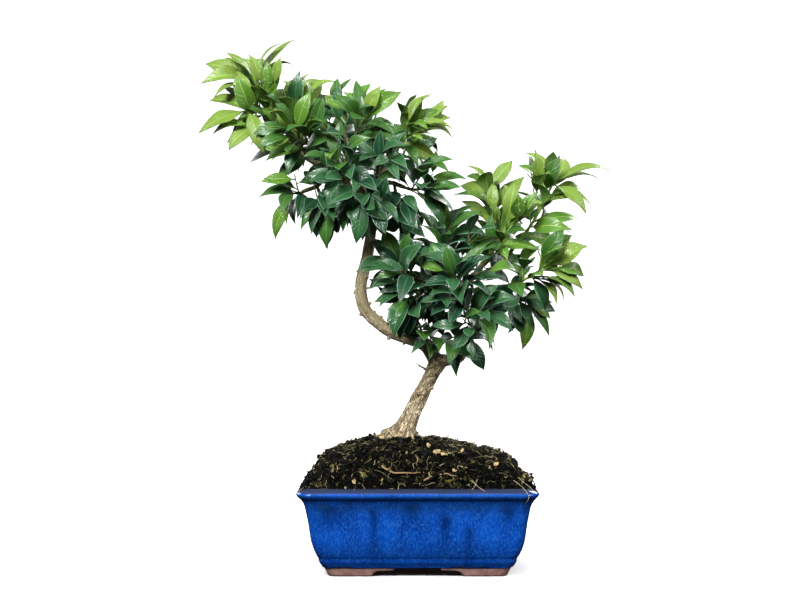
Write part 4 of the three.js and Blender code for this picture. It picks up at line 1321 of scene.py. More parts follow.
# How fibres and shreds lie: the bend at each step in radians, and lifts and the arch in millimetres.
DRAPE = dict(steps=7, bend=0.35, wander=0.18, lift=(0.6, 1.4), arch=1.2)
FLAKES = dict(
    kinds=[
        ("dead leaf flake", "38321f", 0.75, 0.6),
        ("bark flake", "8a7850", 0.8, 0.6),
        ("pale wood chip", "bfa877", 0.75, 0.6),
        ("wet leaf flake", "0c100a", 0.45, 0.6),
        ("moss tuft", "5f5b28", 0.85, 0.5, 0.4),
    ],
    shares=(0.3, 0.05, 0.02, 0.63, 0), size=(1.1, 2.8), corners=7, tilt=0.45, ragged=(0.6, 1.1),
    narrow=0.6, curl=0.1, thick=0.16, lift=(0.6, 0.9, 1), crease=30,
)
# Chips wider than this are wood, and narrower ones bark.
WOOD_CHIP = 2
BARK_KIND = 1
MOSS_KIND = 4
# The way that chips face at the front.
CHIP_NORMAL = (0, -0.8, 0.6)
MOSS_SHAPE = dict(middle=0.8, uneven=1.3, size=0.3, stretch=(1, 0.4, 0.8))
# What shows at the front lies this far out of the heap, and this far in front of it, in millimetres.
FRONT_LIFT = 0.6
FORWARD = 0.4
# Nothing is strewn lower than this over the soil's edge, in millimetres.
CLEAN_EDGE = 0.5
STREW_SEED = 7


def looks(matter):
    return [plain_matter(*kind) for kind in matter["kinds"]]


class BONSAI_OT_debris(bpy.types.Operator):
    """Strews crumbs, root fibres and flakes of bark and leaf over the heap"""

    bl_idname = "bonsai.debris"
    bl_label = "Crumbs and fibres"

    def execute(self, context):
        settings = context.scene.bonsai_soil
        heap = bpy.data.objects["soil_heap"].data
        points = coordinates(heap)
        faces = [tuple(face.vertices) for face in heap.polygons]
        self.surface = BVHTree.FromPolygons([Vector(p) for p in points], faces)
        corners = points[[face for face in faces if len(face) == 4]]
        self.corners = corners[corners[:, :, 2].mean(axis=1) > SOIL_EDGE + CLEAN_EDGE]
        out = np.cross(self.corners[:, 2] - self.corners[:, 0], self.corners[:, 3] - self.corners[:, 1])
        area = np.linalg.norm(out, axis=1)
        self.normals = out / area[:, None]
        self.shares = np.cumsum(area) / area.sum()
        self.rng = np.random.default_rng(STREW_SEED)
        self.make_crumbs(settings)
        self.make_fibres(settings.fibres)
        self.make_shreds(settings.shreds)
        self.make_flakes(settings.flakes)
        return {"FINISHED"}

    def spot(self):
        """A random point of the heap and its normal. Every part of the heap has the same chance."""
        i = min(np.searchsorted(self.shares, self.rng.random()), len(self.shares) - 1)
        a, b, _, d = self.corners[i]
        return a + (b - a) * self.rng.random() + (d - a) * self.rng.random(), self.normals[i]

    def sized(self, least, more, power=2):
        return least + more * self.rng.random() ** power

    def pick(self, shares):
        """A random kind by its share."""
        return int(self.rng.choice(len(shares), p=shares))

    def make_crumbs(self, settings):
        crumbs = Gathering()
        for _ in range(settings.crumbs):
            point, normal = self.spot()
            size = self.rng.uniform(*CRUMBS["range"])
            self.add_crumb(crumbs, point + normal * size * CRUMBS["lift"], size)
        for _ in range(settings.clods):
            point, normal = self.spot()
            size = self.sized(*CLODS["size"])
            self.add_clod(crumbs, point + normal * size * CLODS["lift"], size)
        for _ in range(settings.spilt):
            size = self.sized(*SPILT["size"])
            self.add_crumb(crumbs, self.rim_spot(size), size)
        place_piece("soil_crumbs", crumbs.mesh("soil_crumbs"), looks(CRUMBS))

    def add_crumb(self, crumbs, point, size):
        stretch = self.rng.uniform(*CRUMBS["stretch"], 3) * size
        jag = self.rng.uniform(*CRUMBS["jag"], (len(CRUMB), 1))
        shape = (CRUMB * jag * stretch) @ turn_matrix(self.rng).T
        crumbs.add(shape + point, CRUMB_FACES, self.pick(CRUMBS["shares"]))

    def add_clod(self, crumbs, point, size):
        """A bigger lump that is pitted all over."""
        stretch = self.rng.uniform(*CLODS["stretch"], 3) * size
        pits = 1 + CLODS["pits"] * noises(CLOD, CLODS["pit"], 2, self.rng.uniform(0, 90))
        shape = (CLOD * pits[:, None] * stretch) @ turn_matrix(self.rng).T
        crumbs.add(shape + point, CLOD_FACES, int(self.rng.random() < CLODS["paler"]))

    def rim_spot(self, size):
        """A random place on the pile that has spilt over the two ends of the rim."""
        side = 1 if self.rng.random() < 0.5 else -1
        inset = self.rng.uniform(*SPILT["inset"])
        depth = RIM_HALF[1] - SPILT["corner"]
        y = self.rng.uniform(-depth, depth)
        pile = max(0, inset - SPILT["foot"]) * SPILT["slope"] * self.rng.random()
        return np.array((side * (RIM_HALF[0] - inset), y, RIM_TOP + size / 2 + pile))

    def make_fibres(self, count):
        fibres = Gathering()
        for _ in range(count):
            point, normal = self.spot()
            length = self.sized(*FIBRES["length"])
            radius = self.sized(*FIBRES["radius"])
            path = self.drape(point, normal, length)
            self.add_fibre(fibres, path, radius, FIBRE_TAPER, self.pick(FIBRES["shares"]))
        for places, radius in ROOTS:
            path = [self.front(x, z, radius * ROOT_LIFT) for x, z in places]
            self.add_fibre(fibres, path, radius, ROOT_TAPER, ROOT_KIND, sides=6, steps=4)
        for path, radius in HAIRS:
            self.add_fibre(fibres, path, radius, HAIR_TAPER, HAIR_KIND)
        place_piece("soil_fibres", fibres.mesh("soil_fibres"), looks(FIBRES))

    def add_fibre(self, fibres, path, radius, taper, kind, sides=4, steps=2):
        """A round fibre, with some steps from each point of its path to the next."""
        radii = [radius * share for share in taper]
        rings = tube_rings(Spline(path).at, tapered(radii), sides, steps * (len(path) - 1))
        fibres.add(*loft(rings), kind)

    def front(self, x, z, lift):
        """The point of the heap that shows from the front at a place, a little in front of it."""
        near, out, _, _ = self.surface.ray_cast(Vector((x, -RIM_HALF[1], z)), Vector((0, 1, 0)))
        return near + out * lift - Vector((0, FORWARD, 0))

    def make_shreds(self, count):
        """Bent strips of half rotted leaf and peat moss, many with an end that sticks up."""
        shreds = Gathering()
        for _ in range(count):
            point, normal = self.spot()
            length = self.sized(*SHREDS["length"])
            width = self.sized(*SHREDS["width"])
            path = self.drape(point, normal, length)[::2]
            flat = Vector(normal)
            path[-1] = path[-1] + flat * self.sized(*SHREDS["raised"])

            def width_at(t, out, place):
                first, run = SHREDS["belly"]
                belly = SHREDS["end"] + (1 - SHREDS["end"]) * math.sin(math.pi * (first + run * t))
                return width * (1 - SHREDS["flat"] * abs(out.dot(flat))) * belly

            kind = self.pick(SHREDS["shares"])
            shreds.add(*loft(tube_rings(Spline(path).at, width_at, 4, 5)), kind)
        place_piece("soil_shreds", shreds.mesh("soil_shreds"), looks(SHREDS))

    def drape(self, point, normal, length):
        """A wandering path of points just above the heap."""
        heading = np.cross(normal, self.rng.normal(size=3))
        heading /= np.linalg.norm(heading)
        steps = DRAPE["steps"]
        bend = self.rng.normal() * DRAPE["bend"]
        path = []
        lift = self.sized(*DRAPE["lift"])
        here = np.array(point)
        for k in range(steps):
            near, out, _, _ = self.surface.find_nearest(Vector(here))
            rise = lift + DRAPE["arch"] * math.sin(math.pi * k / (steps - 1)) * self.rng.random()
            path.append(near + out * rise)
            turned = heading * math.cos(bend) + np.cross(np.array(out), heading) * math.sin(bend)
            heading = turned + self.rng.normal(size=3) * DRAPE["wander"]
            heading /= np.linalg.norm(heading)
            here = np.array(near) + heading * length / steps
        return path

    def make_flakes(self, count):
        flakes = Gathering()
        for (x, z), size in CHIPS:
            place = np.array(self.front(x, z, FRONT_LIFT))
            self.add_flake(flakes, place, np.array(CHIP_NORMAL), size, BARK_KIND + (size > WOOD_CHIP))
        for (x, z), size in MOSS:
            swell = MOSS_SHAPE["middle"] + MOSS_SHAPE["uneven"] * noises(CLOD, MOSS_SHAPE["size"], 2, x)
            tuft = CLOD * swell[:, None] * [size * share for share in MOSS_SHAPE["stretch"]]
            flakes.add(tuft + np.array(self.front(x, z, FRONT_LIFT)), CLOD_FACES, MOSS_KIND)
        for _ in range(count):
            point, normal = self.spot()
            size = self.sized(*FLAKES["size"])
            self.add_flake(flakes, point, normal, size, self.pick(FLAKES["shares"]))
        for _ in range(LITTER["count"]):
            place = np.array(LITTER["middle"]) + self.rng.normal(size=3) * LITTER["spread"]
            kind = self.pick(LITTER["shares"])
            self.add_flake(flakes, place, self.rng.normal(size=3), self.sized(*LITTER["size"]), kind)
        mesh = flakes.mesh("soil_flakes", FLAKES["crease"])
        place_piece("soil_flakes", mesh, looks(FLAKES))

    def add_flake(self, flakes, point, normal, size, kind):
        """A thin plate with a ragged edge that lies tilted on the heap."""
        corners = FLAKES["corners"]
        normal = normal + self.rng.normal(size=3) * FLAKES["tilt"]
        normal /= np.linalg.norm(normal)
        u = np.cross(normal, self.rng.normal(size=3))
        u /= np.linalg.norm(u)
        v = np.cross(normal, u)
        angles = turns(corners)
        reach = size * self.rng.uniform(*FLAKES["ragged"], corners)
        ring = (
            np.outer(np.cos(angles) * reach, u) + np.outer(np.sin(angles) * reach * FLAKES["narrow"], v)
            + np.outer(self.rng.normal(size=corners) * size * FLAKES["curl"], normal)
        )
        base = ring + point + normal * self.sized(*FLAKES["lift"])
        flakes.add(*loft([base, base + normal * size * FLAKES["thick"]]), kind)


# Roots that lie bare on the front of the heap, as places in the front view, and radii, in millimetres.
ROOTS = [
    ([(-32.7, 96), (-29, 93), (-25.2, 90.7), (-19.8, 88), (-11.2, 88), (-4, 87.4), (1.7, 87.6)], 0.72),
    ([(-25.2, 90.7), (-22.5, 92.5), (-21.5, 95)], 0.4),
    ([(5, 81.7), (8, 83.6), (11.4, 84.8), (17.9, 86.1), (24.2, 86.9), (28, 85.6), (31.6, 85.5)], 0.6),
    ([(17.9, 86.1), (20, 83.5), (19, 81)], 0.35),
    ([(-2, 101), (0, 98), (-1, 94.5), (1, 91.5)], 0.4),
    ([(-71, 93), (-70, 90.5), (-70.5, 88)], 0.45),
    ([(-67, 93), (-66.5, 90), (-67.5, 88)], 0.4),
    ([(36, 93), (41, 92), (45, 93.5)], 0.4),
]
# Stray hairs that hang over the rim or stand out at its ends: points and radii in millimetres.
HAIRS = [
    ([(44.7, -66, 82), (50, -70, 77), (56.5, -73, 73)], 0.22),
    ([(49, -65, 83), (47, -69, 78), (44, -72, 74.5)], 0.18),
    ([(79, -64, 82), (86, -70, 77), (91, -76.5, 70), (88, -77.5, 65)], 0.22),
    ([(83, -60, 84), (92, -68, 77), (97, -73, 72)], 0.18),
    ([(94, -30, 83), (102, -32, 86), (110, -34, 93)], 0.14),
    ([(-88, -60, 79), (-97, -67, 74.5), (-101.5, -68, 69), (-101.5, -68, 61)], 0.16),
    ([(24, -16, 109), (28, -17, 113), (31, -18, 117)], 0.12),
]
# Chips that show on the front of the heap, and tufts of moss: places in the front view, and sizes.
CHIPS = [
    ((10, 107), 3.0), ((17.4, 103.4), 4.0), ((21, 100.6), 3.8), ((64.6, 92.5), 3.6), ((-52, 82), 1.9),
    ((-9, 102), 2.0), ((30, 89), 2.4), ((38, 103), 2.4), ((-30, 82), 1.8),
]
MOSS = [((-44.6, 85.4), 2.6), ((25.3, 81), 2.9), ((-62, 84), 2.0), ((-72, 92), 1.6), ((46, 96), 1.4)]
# Dead leaf litter gathered at the right end of the rim.
LITTER = dict(
    middle=(93, -30, 80), spread=(3.2, 14, 2.6), count=60, size=(1.2, 2.6, 1), shares=(0.35, 0.3, 0.15, 0.2),
)


# Bark


class WoodSettings(bpy.types.PropertyGroup):
    bark_colour: FloatVectorProperty(
        name="Bark", description="Colour of the ridges of the bark", subtype="COLOR",
        default=linear("c8ae82")[:3], min=0, max=1,
    )
    green_colour: FloatVectorProperty(
        name="Young bark", description="Colour of young greenish bark", subtype="COLOR",
        default=linear("7d7955")[:3], min=0, max=1,
    )
    fissure_depth: FloatProperty(
        name="Fissures", description="Depth of the fissures on the trunk", default=0.0009, min=0,
        unit="LENGTH",
    )
    voxel: FloatProperty(
        name="Fineness", description="Size of the cells that fuse the limbs", default=0.00047, min=0.0003,
        unit="LENGTH",
    )


# A plate of the bark: two widths and a length in millimetres.
PLATE = (2.8, 2.8, 10)
# A field of plates between two deeper clefts, likewise.
CLEFT = (5.5, 5.5, 19)
# Stubs and knots on the wood, in millimetres: from a point inside the limb to a tip, and two radii.
STUBS = [
    ((9, 0, 170), (1.5, -3, 174.5), 1.5, 0.9),
    ((2, -3, 174), (-1, -4, 177), 0.9, 0.5),
    ((2, -3, 150), (-0.5, -8.4, 151), 2.8, 1.6),
    ((-48, -8, 241), (-40, -8.5, 241.5), 1.3, 0.9),
    ((-41, -8.5, 241.4), (-34.3, -9, 244), 0.9, 0.6),
    ((9, 0, 155), (14.8, -1.5, 154), 1.9, 1.1),
    ((-46, -8, 236), (-54.8, -9, 237.8), 2.0, 1.5),
    ((-44, -8, 222), (-44, -14, 221), 1.6, 1.1),
    ((-22, -7, 204), (-23, -12.4, 202.5), 1.9, 1.3),
    ((5, -2, 192), (4, -9, 191), 2.0, 1.4),
    ((-40, -8, 214), (-36, -8, 222), 1.5, 1.0),
    ((-3, -4, 196), (-4, -6, 204), 1.4, 0.8),
    ((-43, -4, 250), (-42, -10, 251.5), 1.2, 0.9),
    ((-43, -8, 221), (-50.2, -8.5, 217.8), 1.9, 1.4),
    ((-46, -8, 227), (-39.3, -9.5, 228.4), 1.8, 1.3),
    ((-34.5, -8, 212), (-30.2, -9.5, 217.3), 1.8, 1.3),
    ((-25, -7, 204), (-24.4, -8.5, 196.9), 2.0, 1.5),
    ((-11, -5.5, 199), (-11.5, -9, 192.4), 1.8, 1.3),
]
# The trunk's skin is laid on a little thicker, because smoothing the fused limbs thins them.
BARK_THICKNESS = 0.35
BURIED_FOOT = (-19, 0, 99)
# Roots that run from the foot of the trunk into the soil: points and radii in millimetres.
ROOT_SPURS = [
    ([(-14, 0, 121), (-22, -1, 117), (-30, -3, 113.6), (-40, -6, 109)], [6, 5, 3.2, 1.2]),
    ([(-14, 2, 120), (-22, 8, 112), (-30, 14, 107)], [5, 4, 2.6]),
    ([(-12, -3, 119), (-16, -9, 112.5), (-19, -16, 107.5)], [5, 4, 2.6]),
    ([(-10, -2, 118), (-6, -8, 112), (-3, -14, 107.5)], [5, 3.8, 2.4]),
    ([(-9, 1, 120), (-2, 2, 112.5), (6, 3, 107.5)], [5.5, 4.2, 2.6]),
    ([(-12, 4, 118), (-9, 11, 111), (-6, 18, 106)], [5, 4, 2.6]),
]
# The limbs that carry the others, and how much coarser the skin of the rest may be.
MAIN_LIMBS = ("trunk", "leader_lower", "leader_upper")
BOUGH_VOXEL = 1.8
# Where a bough leaves a main limb, a collar swells round it and closes inside it: runs and shares.
COLLAR_RUN = [0, 3, 6, 8.5, 10]
COLLAR_SHARE = [1.5, 1.28, 1.1, 0.85, 0.5]
# Where a bough leaves another, its foot swells by a share that fades over a run in millimetres.
FOOT_SWELL = 0.3
FOOT_RUN = 5
# How the skin of fused limbs is smoothed, so that they blend where they meet: factor and times.
BLEND = (0.6, 6)
# The bark's pattern is drawn out along a limb, and warped by noise in patches of a size in millimetres.
DRAWN_OUT = (1, 1, 0.3)
WARP = dict(size=4, plate=0.5, cleft=0.7)
# Widths of fissures and clefts as shares of a plate and a field, and how deep fissures go in between.
FISSURE = dict(width=0.32, cleft=0.2, depth=0.95)
# Sizes in millimetres of where clefts break off, of deeper and shallower parts and of swells.
PATCHES = dict(breaks=6, depth=12, swell=7)
SWELL_SHARE = 0.6
# Limbs of this radius in millimetres have the full relief, and slender ones less.
FULL_RELIEF = 6.8
LEAST_RELIEF = 0.05
MOST_RELIEF = 1.1
# Wood is younger and greener from a height up, and on limbs thinner than a radius: start, run and share.
YOUNG_HEIGHT = (160, 70, 0.5)
YOUNG_RADIUS = (3.4, 2, 0.3)


class BONSAI_OT_bark(bpy.types.Operator):
    """Makes the trunk and boughs with the relief of their bark"""

    bl_idname = "bonsai.bark"
    bl_label = "Trunk and boughs"

    def execute(self, context):
        settings = context.scene.bonsai_wood
        curves, _ = grown()
        self.samples = self.sample(curves)
        self.tree = KDTree(len(self.samples))
        for i, sample in enumerate(self.samples):
            self.tree.insert(sample.point, i)
        self.tree.balance()
        main, boughs = Gathering(), Gathering()
        for name, curve in curves.items():
            if name in MAIN_LIMBS:
                main.add(*self.limb(name, curve))
            else:
                boughs.add(*self.limb(name, curve))
                if LIMBS[name]["on"] in MAIN_LIMBS:
                    main.add(*self.collar(name, curve))
        for foot, tip, wide, narrow in STUBS:
            main.add(*self.rod([foot, tip], [wide, wide, narrow], 4))
        for path, radii in ROOT_SPURS:
            main.add(*self.rod(path, radii, 12))
        material = tree_bark(settings)
        slender = [name for name in curves if name not in MAIN_LIMBS]
        for name, limbs, nodes, voxel in (
            ("bark_trunk", main, list(MAIN_LIMBS), settings.voxel),
            ("bark_boughs", boughs, slender, settings.voxel * BOUGH_VOXEL),
        ):
            bark = place_piece(name, limbs.mesh(name), [material], nodes)
            fused(bark, voxel, *BLEND)
            self.relieve(bark.data, settings.fissure_depth / MM)
        return {"FINISHED"}

    def rod(self, path, radii, steps):
        return loft(tube_rings(Spline(path).at, tapered(radii), 12, steps))

    def limb(self, name, curve):
        """A limb's skin. The trunk goes on into the soil, and boughs swell where they leave another."""
        limb = LIMBS[name]
        radii = limb["radii"]
        if name == "trunk":
            curve = Spline([BURIED_FOOT, *curve.points])
            radii = [radii[0], *radii]
        length = arc_length(curve)
        foot = FOOT_SWELL if limb.get("on", "trunk") not in MAIN_LIMBS else 0

        def radius_at(t, out, point):
            swell = flare(out, point) if name == "trunk" else 0
            return (along(radii, t) + BARK_THICKNESS + swell) * (1 + foot * math.exp(-t * length / FOOT_RUN))

        return loft(tube_rings(curve.at, radius_at, 20, max(8, round(length / 2))))

    def collar(self, name, curve):
        radii = LIMBS[name]["radii"]
        share = COLLAR_RUN[-1] / arc_length(curve)

        def radius_at(t, out, point):
            swell = np.interp(t * COLLAR_RUN[-1], COLLAR_RUN, COLLAR_SHARE)
            return (along(radii, t * share) + BARK_THICKNESS) * swell

        return loft(tube_rings(lambda t: curve.at(t * share), radius_at, 16, 8))

    def sample(self, curves):
        """Places every millimetre along the limbs. The grain of each limb flows on from its parent's."""
        rows = {}
        for name, curve in curves.items():
            limb = LIMBS[name]
            count = max(10, round(arc_length(curve)))
            across, run = Vector((0, 1, 0)), 0
            if "on" in limb:
                parent = rows[limb["on"]]
                start = parent[round(limb["at"] * (len(parent) - 1))]
                across, run = start.across, start.run
            rows[name] = []
            before = curve.at(0)
            for i in range(count + 1):
                point, tangent = curve.at(i / count), curve.tangent(i / count)
                run += (point - before).length
                before = point
                across = (across - tangent * across.dot(tangent)).normalized()
                radius = along(limb["radii"], i / count)
                rows[name].append(
                    SimpleNamespace(point=point, tangent=tangent, across=across, run=run, radius=radius)
                )
        return [sample for samples in rows.values() for sample in samples]

    def relieve(self, mesh, depth):
        """Cuts fissures between plates that follow each limb, and notes what the bark's colour needs."""
        points = coordinates(mesh)
        grain = np.empty((len(points), 3))
        radii = np.empty(len(points))
        for n, point in enumerate(points):
            here = Vector(point)
            sample = self.samples[self.tree.find(here)[1]]
            out = here - sample.point
            other = sample.tangent.cross(sample.across)
            grain[n] = out.dot(sample.across), out.dot(other), sample.run + out.dot(sample.tangent)
            radii[n] = sample.radius
        stretched = grain * DRAWN_OUT
        warp = np.column_stack([noises(stretched, WARP["size"], 2, shift) for shift in (1, 11, 31)])
        cells = grain / PLATE + warp * WARP["plate"]
        clefts = grain / CLEFT + warp * WARP["cleft"]
        broken = np.clip(0.6 + 2.2 * noises(grain * (1, 1, 0.4), PATCHES["breaks"], 2, 47), 0, 1)
        fissure = np.empty(len(points))
        tone = np.empty(len(points))
        for n, cell in enumerate(cells):
            reach, seeds = noise.voronoi(Vector(cell))
            deepest = FISSURE["depth"]
            fissure[n] = deepest - deepest * min(1, (reach[1] - reach[0]) / FISSURE["width"])
            apart = noise.voronoi(Vector(clefts[n]))[0]
            cleft = broken[n] * (1 - min(1, (apart[1] - apart[0]) / FISSURE["cleft"]))
            fissure[n] = max(fissure[n], cleft)
            tone[n] = noise.cell(seeds[0] * 7)
        fissure *= np.clip(0.9 + noises(stretched, PATCHES["depth"], 2, 17), 0.3, 1)
        swell = noises(grain * (1, 1, 0.45), PATCHES["swell"], 2, 3)
        size = np.clip((radii / FULL_RELIEF) ** 2, LEAST_RELIEF, MOST_RELIEF)
        relief = (SWELL_SHARE * swell - fissure) * depth * size
        move_points(mesh, points + normals_of(mesh) * relief[:, None])
        foot, run, share = YOUNG_HEIGHT
        young = np.clip((points[:, 2] - foot) / run, 0, 1) * share
        stout, run, share = YOUNG_RADIUS
        young = young + np.clip((stout - radii) / run, 0, 1) * share
        note_points(mesh, "fissure", np.clip(fissure * np.clip(size, 0.3, 1), 0, 1))
        note_points(mesh, "tone", np.abs(tone))
        note_points(mesh, "young", young)
        note_points(mesh, "grain", stretched * MM)
        mesh.shade_smooth()


# Twigs and leaves

# Masses of foliage that share a piece.
GROUPS = {
    "top_left": "top_left_tip top_left_low top_left_crest top_left_front left_low left_under",
    "top": "top_left_inner top_middle middle top_right shoulder shoulder_low front front_high",
    "back": "back_left back_top back_right back_low right_back right_back_low inner_back",
    "right": "right_top right_crest right_middle right_side right_low inner_crest inner_top",
    "inner": "right_foot right_front inner_low inner_left inner_front fork_sprout fork_leaves",
}


class LeafSettings(bpy.types.PropertyGroup):
    length_share: FloatProperty(
        name="Length", description="Length of a leaf as a share of its solid's", default=0.97, min=0.5,
        max=1.1,
    )
    width_share: FloatProperty(
        name="Width", description="Width of a leaf as a share of its solid's", default=0.95, min=0.5, max=1.3
    )
    thickness: FloatProperty(
        name="Thickness", description="Thickness of a blade", default=0.00045, min=0.0001, unit="LENGTH"
    )
    # Specks are small pale dots on the bright leaves.
    specks: IntProperty(
        name="Specks", description="Most pale specks on a bright leaf", default=14, min=0
    )


# Masses under the first youth have brown stems, and twigs under the second are older than the rest.
BROWN_YOUTH = 0.6
OLDER_YOUTH = 0.75
# Nodes of a shoot: millimetres from one to the next, and the share by which they swell. Its rings stand
# closer.
NODE_STEP = 6.5
NODE_SWELL = 0.16
SHOOT_RING = 1.6


class BONSAI_OT_twigs(bpy.types.Operator):
    """Grows the stems and twigs on from the boughs"""

    bl_idname = "bonsai.twigs"
    bl_label = "Twigs"

    def execute(self, context):
        _, masses = grown()
        twigs = Gathering()
        for mass in masses:
            for shoot in mass.shoots:
                kind = 1 if mass.youth < OLDER_YOUTH else 2
                if shoot.kind is STEM and mass.youth < BROWN_YOUTH:
                    kind = 0
                twigs.add(*self.shoot(shoot), kind)
        materials = [
            plain_matter("brown twig bark", "6b6446", 0.7, 0.8, 0.2),
            plain_matter("green twig bark", "55692f", 0.6, 0.8),
            plain_matter("young green twig", "76963a", 0.5, 0.8),
        ]
        place_piece("twigs", twigs.mesh("twigs"), materials)
        return {"FINISHED"}

    def shoot(self, shoot):
        """A round tapering shoot that swells at its nodes."""
        radii = shoot.kind["radii"]
        steps = max(6, round(shoot.length / SHOOT_RING))

        def radius_at(t, out, point):
            node = 1 + NODE_SWELL * math.cos(t * shoot.length * 2 * math.pi / NODE_STEP)
            return along(radii, t) * node

        return loft(tube_rings(shoot.curve.at, radius_at, 6, steps))


# Half width of a leaf along it, as shares of its length and of its widest half: a lance and an ellipse.
LANCE = [
    (0, 0.055), (0.08, 0.05), (0.11, 0.07), (0.16, 0.27), (0.23, 0.55), (0.32, 0.82), (0.42, 0.98),
    (0.5, 1), (0.6, 0.95), (0.7, 0.81), (0.8, 0.57), (0.88, 0.33), (0.95, 0.13), (1, 0.02),
]
ELLIPSE = [
    (0, 0.055), (0.1, 0.05), (0.13, 0.08), (0.18, 0.26), (0.25, 0.5), (0.34, 0.76), (0.45, 0.94),
    (0.56, 1), (0.67, 0.97), (0.76, 0.83), (0.84, 0.6), (0.91, 0.33), (0.96, 0.13), (1, 0.02),
]
STATIONS = np.array([0, 0.06, 0.11, 0.16, 0.23, 0.31, 0.4, 0.5, 0.6, 0.7, 0.78, 0.85, 0.91, 0.96, 1])
COLUMNS = np.array([-1, -0.94, -0.5, -0.04, 0.04, 0.5, 0.94, 1])
# Along a leaf, the blade begins after its stalk and is full after a fade, and the tip begins.
PETIOLE_SHARE = 0.13
BLADE_FADE = 0.12
TIP_START = 0.93
YOUNG, FRESH, MATURE, DARK, OLD = range(5)
UNDER, RIB, MARGIN, TIP, SPECK = 5, 8, 11, 14, 16


def leaf_faces():
    """Faces of the blade's top, its underside and the edge between them, and what each one is."""
    rows, columns = len(STATIONS), len(COLUMNS)
    under = rows * columns
    faces, parts = [], []
    for r in range(rows - 1):
        for c in range(columns - 1):
            a, b = r * columns + c, (r + 1) * columns + c
            part = "margin" if c in (0, columns - 2) else "rib" if c == columns // 2 - 1 else "blade"
            part = "tip" if STATIONS[r] > TIP_START else part
            faces += [(a, a + 1, b + 1, b), (under + a, under + b, under + b + 1, under + a + 1)]
            parts += [part, "rib under" if part == "rib" else "under"]
        for c, turn in ((0, False), (columns - 1, True)):
            a, b = r * columns + c, (r + 1) * columns + c
            edge = (a, b, under + b, under + a)
            faces.append(tuple(reversed(edge)) if turn else edge)
            parts.append("tip" if STATIONS[r] > TIP_START else "margin")
    foot = [c for c in range(columns)] + [under + c for c in reversed(range(columns))]
    tip = [(rows - 1) * columns + c for c in reversed(range(columns))]
    tip += [under + (rows - 1) * columns + c for c in range(columns)]
    faces += [tuple(foot), tuple(tip)]
    parts += ["under", "under"]
    return faces, parts


LEAF_FACES, LEAF_PARTS = leaf_faces()
# Side veins leave the rib this many times along a leaf, and slant forward to the margin.
VEINS = 9
VEIN_SLANT = 1.8
LEAF_VEINS = np.tile((STATIONS[:, None] * VEINS - np.abs(COLUMNS)[None, :] * VEIN_SLANT).ravel(), 2)


# How leaves vary, from least to most: shares of their own width or length, and the fold in degrees.
VARIED = dict(width=(0.82, 1.14), fold=(5, 30), hook=(0, 0.05), wave=(0, 0.028), swing=0.12)
VARIED_OUTER = dict(roundness=(0.1, 0.7), curl=(0, 0.2), twist=0.2)
VARIED_INNER = dict(roundness=(0.2, 1), curl=(-0.03, 0.28), twist=0.4)
# Where a leaf's curl and its hooked tip begin, over what run, and the power by which they grow.
CURL = (0.5, 0.5, 2)
HOOK = (0.82, 0.18, 1.5)
# Waves of the edge, in radians from foot to tip, and how far one side is ahead of the other.
EDGE_WAVES = 11
EDGE_SHIFT = 1.7
CUP = 0.02
# Half of the rib as a share of the blade's half, its groove on top and its ridge below, and the stalk's
# thickness, in millimetres.
RIB_SHARE = 0.1
GROOVE = 0.12
RIDGE = 0.35
STALK = 0.9


def bend_from(share, start, run, power):
    return np.clip((share - start) / run, 0, 1) ** power


def leaf_points(leaf, settings, rng):
    """A blade with a stalk, folded along its rib, bowed to one side and curled at its tip."""
    varied = VARIED_OUTER if leaf.outer else VARIED_INNER
    length = leaf.length if leaf.outer else leaf.length * settings.length_share
    half = leaf.width / 2 * settings.width_share * rng.uniform(*VARIED["width"])
    side = leaf.forward.cross(leaf.up)
    share = STATIONS[:, None]
    across = COLUMNS[None, :]
    roundness = rng.uniform(*varied["roundness"])
    lance, ellipse = (np.interp(STATIONS, *zip(*shape))[:, None] for shape in (LANCE, ELLIPSE))
    outline = lerp(lance, ellipse, roundness)
    blade = np.clip((share - PETIOLE_SHARE) / BLADE_FADE, 0, 1)
    offset = across * outline * half
    fold = math.tan(math.radians(rng.uniform(*VARIED["fold"])))
    curl = rng.uniform(*varied["curl"])
    hook = rng.uniform(*VARIED["hook"])
    wave = rng.uniform(*VARIED["wave"]) * length
    phase = rng.uniform(0, 2 * math.pi)
    twist = rng.normal() * varied["twist"]
    swing = rng.normal() * VARIED["swing"] * length
    arch = LEAF["arch"] * length * np.sin(math.pi * share) ** 0.9
    recurve = -length * (curl * bend_from(share, *CURL) + hook * bend_from(share, *HOOK))
    edge = across**2 * wave * np.sin(share * EDGE_WAVES + phase + (across > 0) * EDGE_SHIFT) * outline
    cup = -CUP * length * across**4 * blade * outline
    rise = arch + recurve + fold * np.abs(offset) * blade + cup + edge + twist * share * offset
    slide = swing * (share**2 - share)
    rib = np.abs(across) < RIB_SHARE
    groove = -GROOVE * rib * blade
    thick = np.where(blade < 0.5, STALK, settings.thickness / MM) * np.ones_like(across)
    ridge = RIDGE * rib * (1 - share) * blade
    layers = []
    for height in (rise + groove, rise - thick - ridge):
        flat = (
            np.array(leaf.foot)[None, None, :]
            + np.array(leaf.forward) * (share * length)[..., None]
            + np.array(side) * (offset + slide)[..., None]
            + np.array(leaf.up) * height[..., None]
        )
        layers.append(flat.reshape(-1, 3))
    return np.concatenate(layers)


# Specks lie between these rows, and beside the rib. Their radii and heights are in millimetres.
SPECK_ROWS = (4, len(STATIONS) - 3)
SPECK_COLUMNS = (1, 2, 4, 5)
SPECK_SIDES = 5
SPECK_RADIUS = (0.25, 0.55)
SPECK_FOOT = 0.15
SPECK_RISE = 0.14


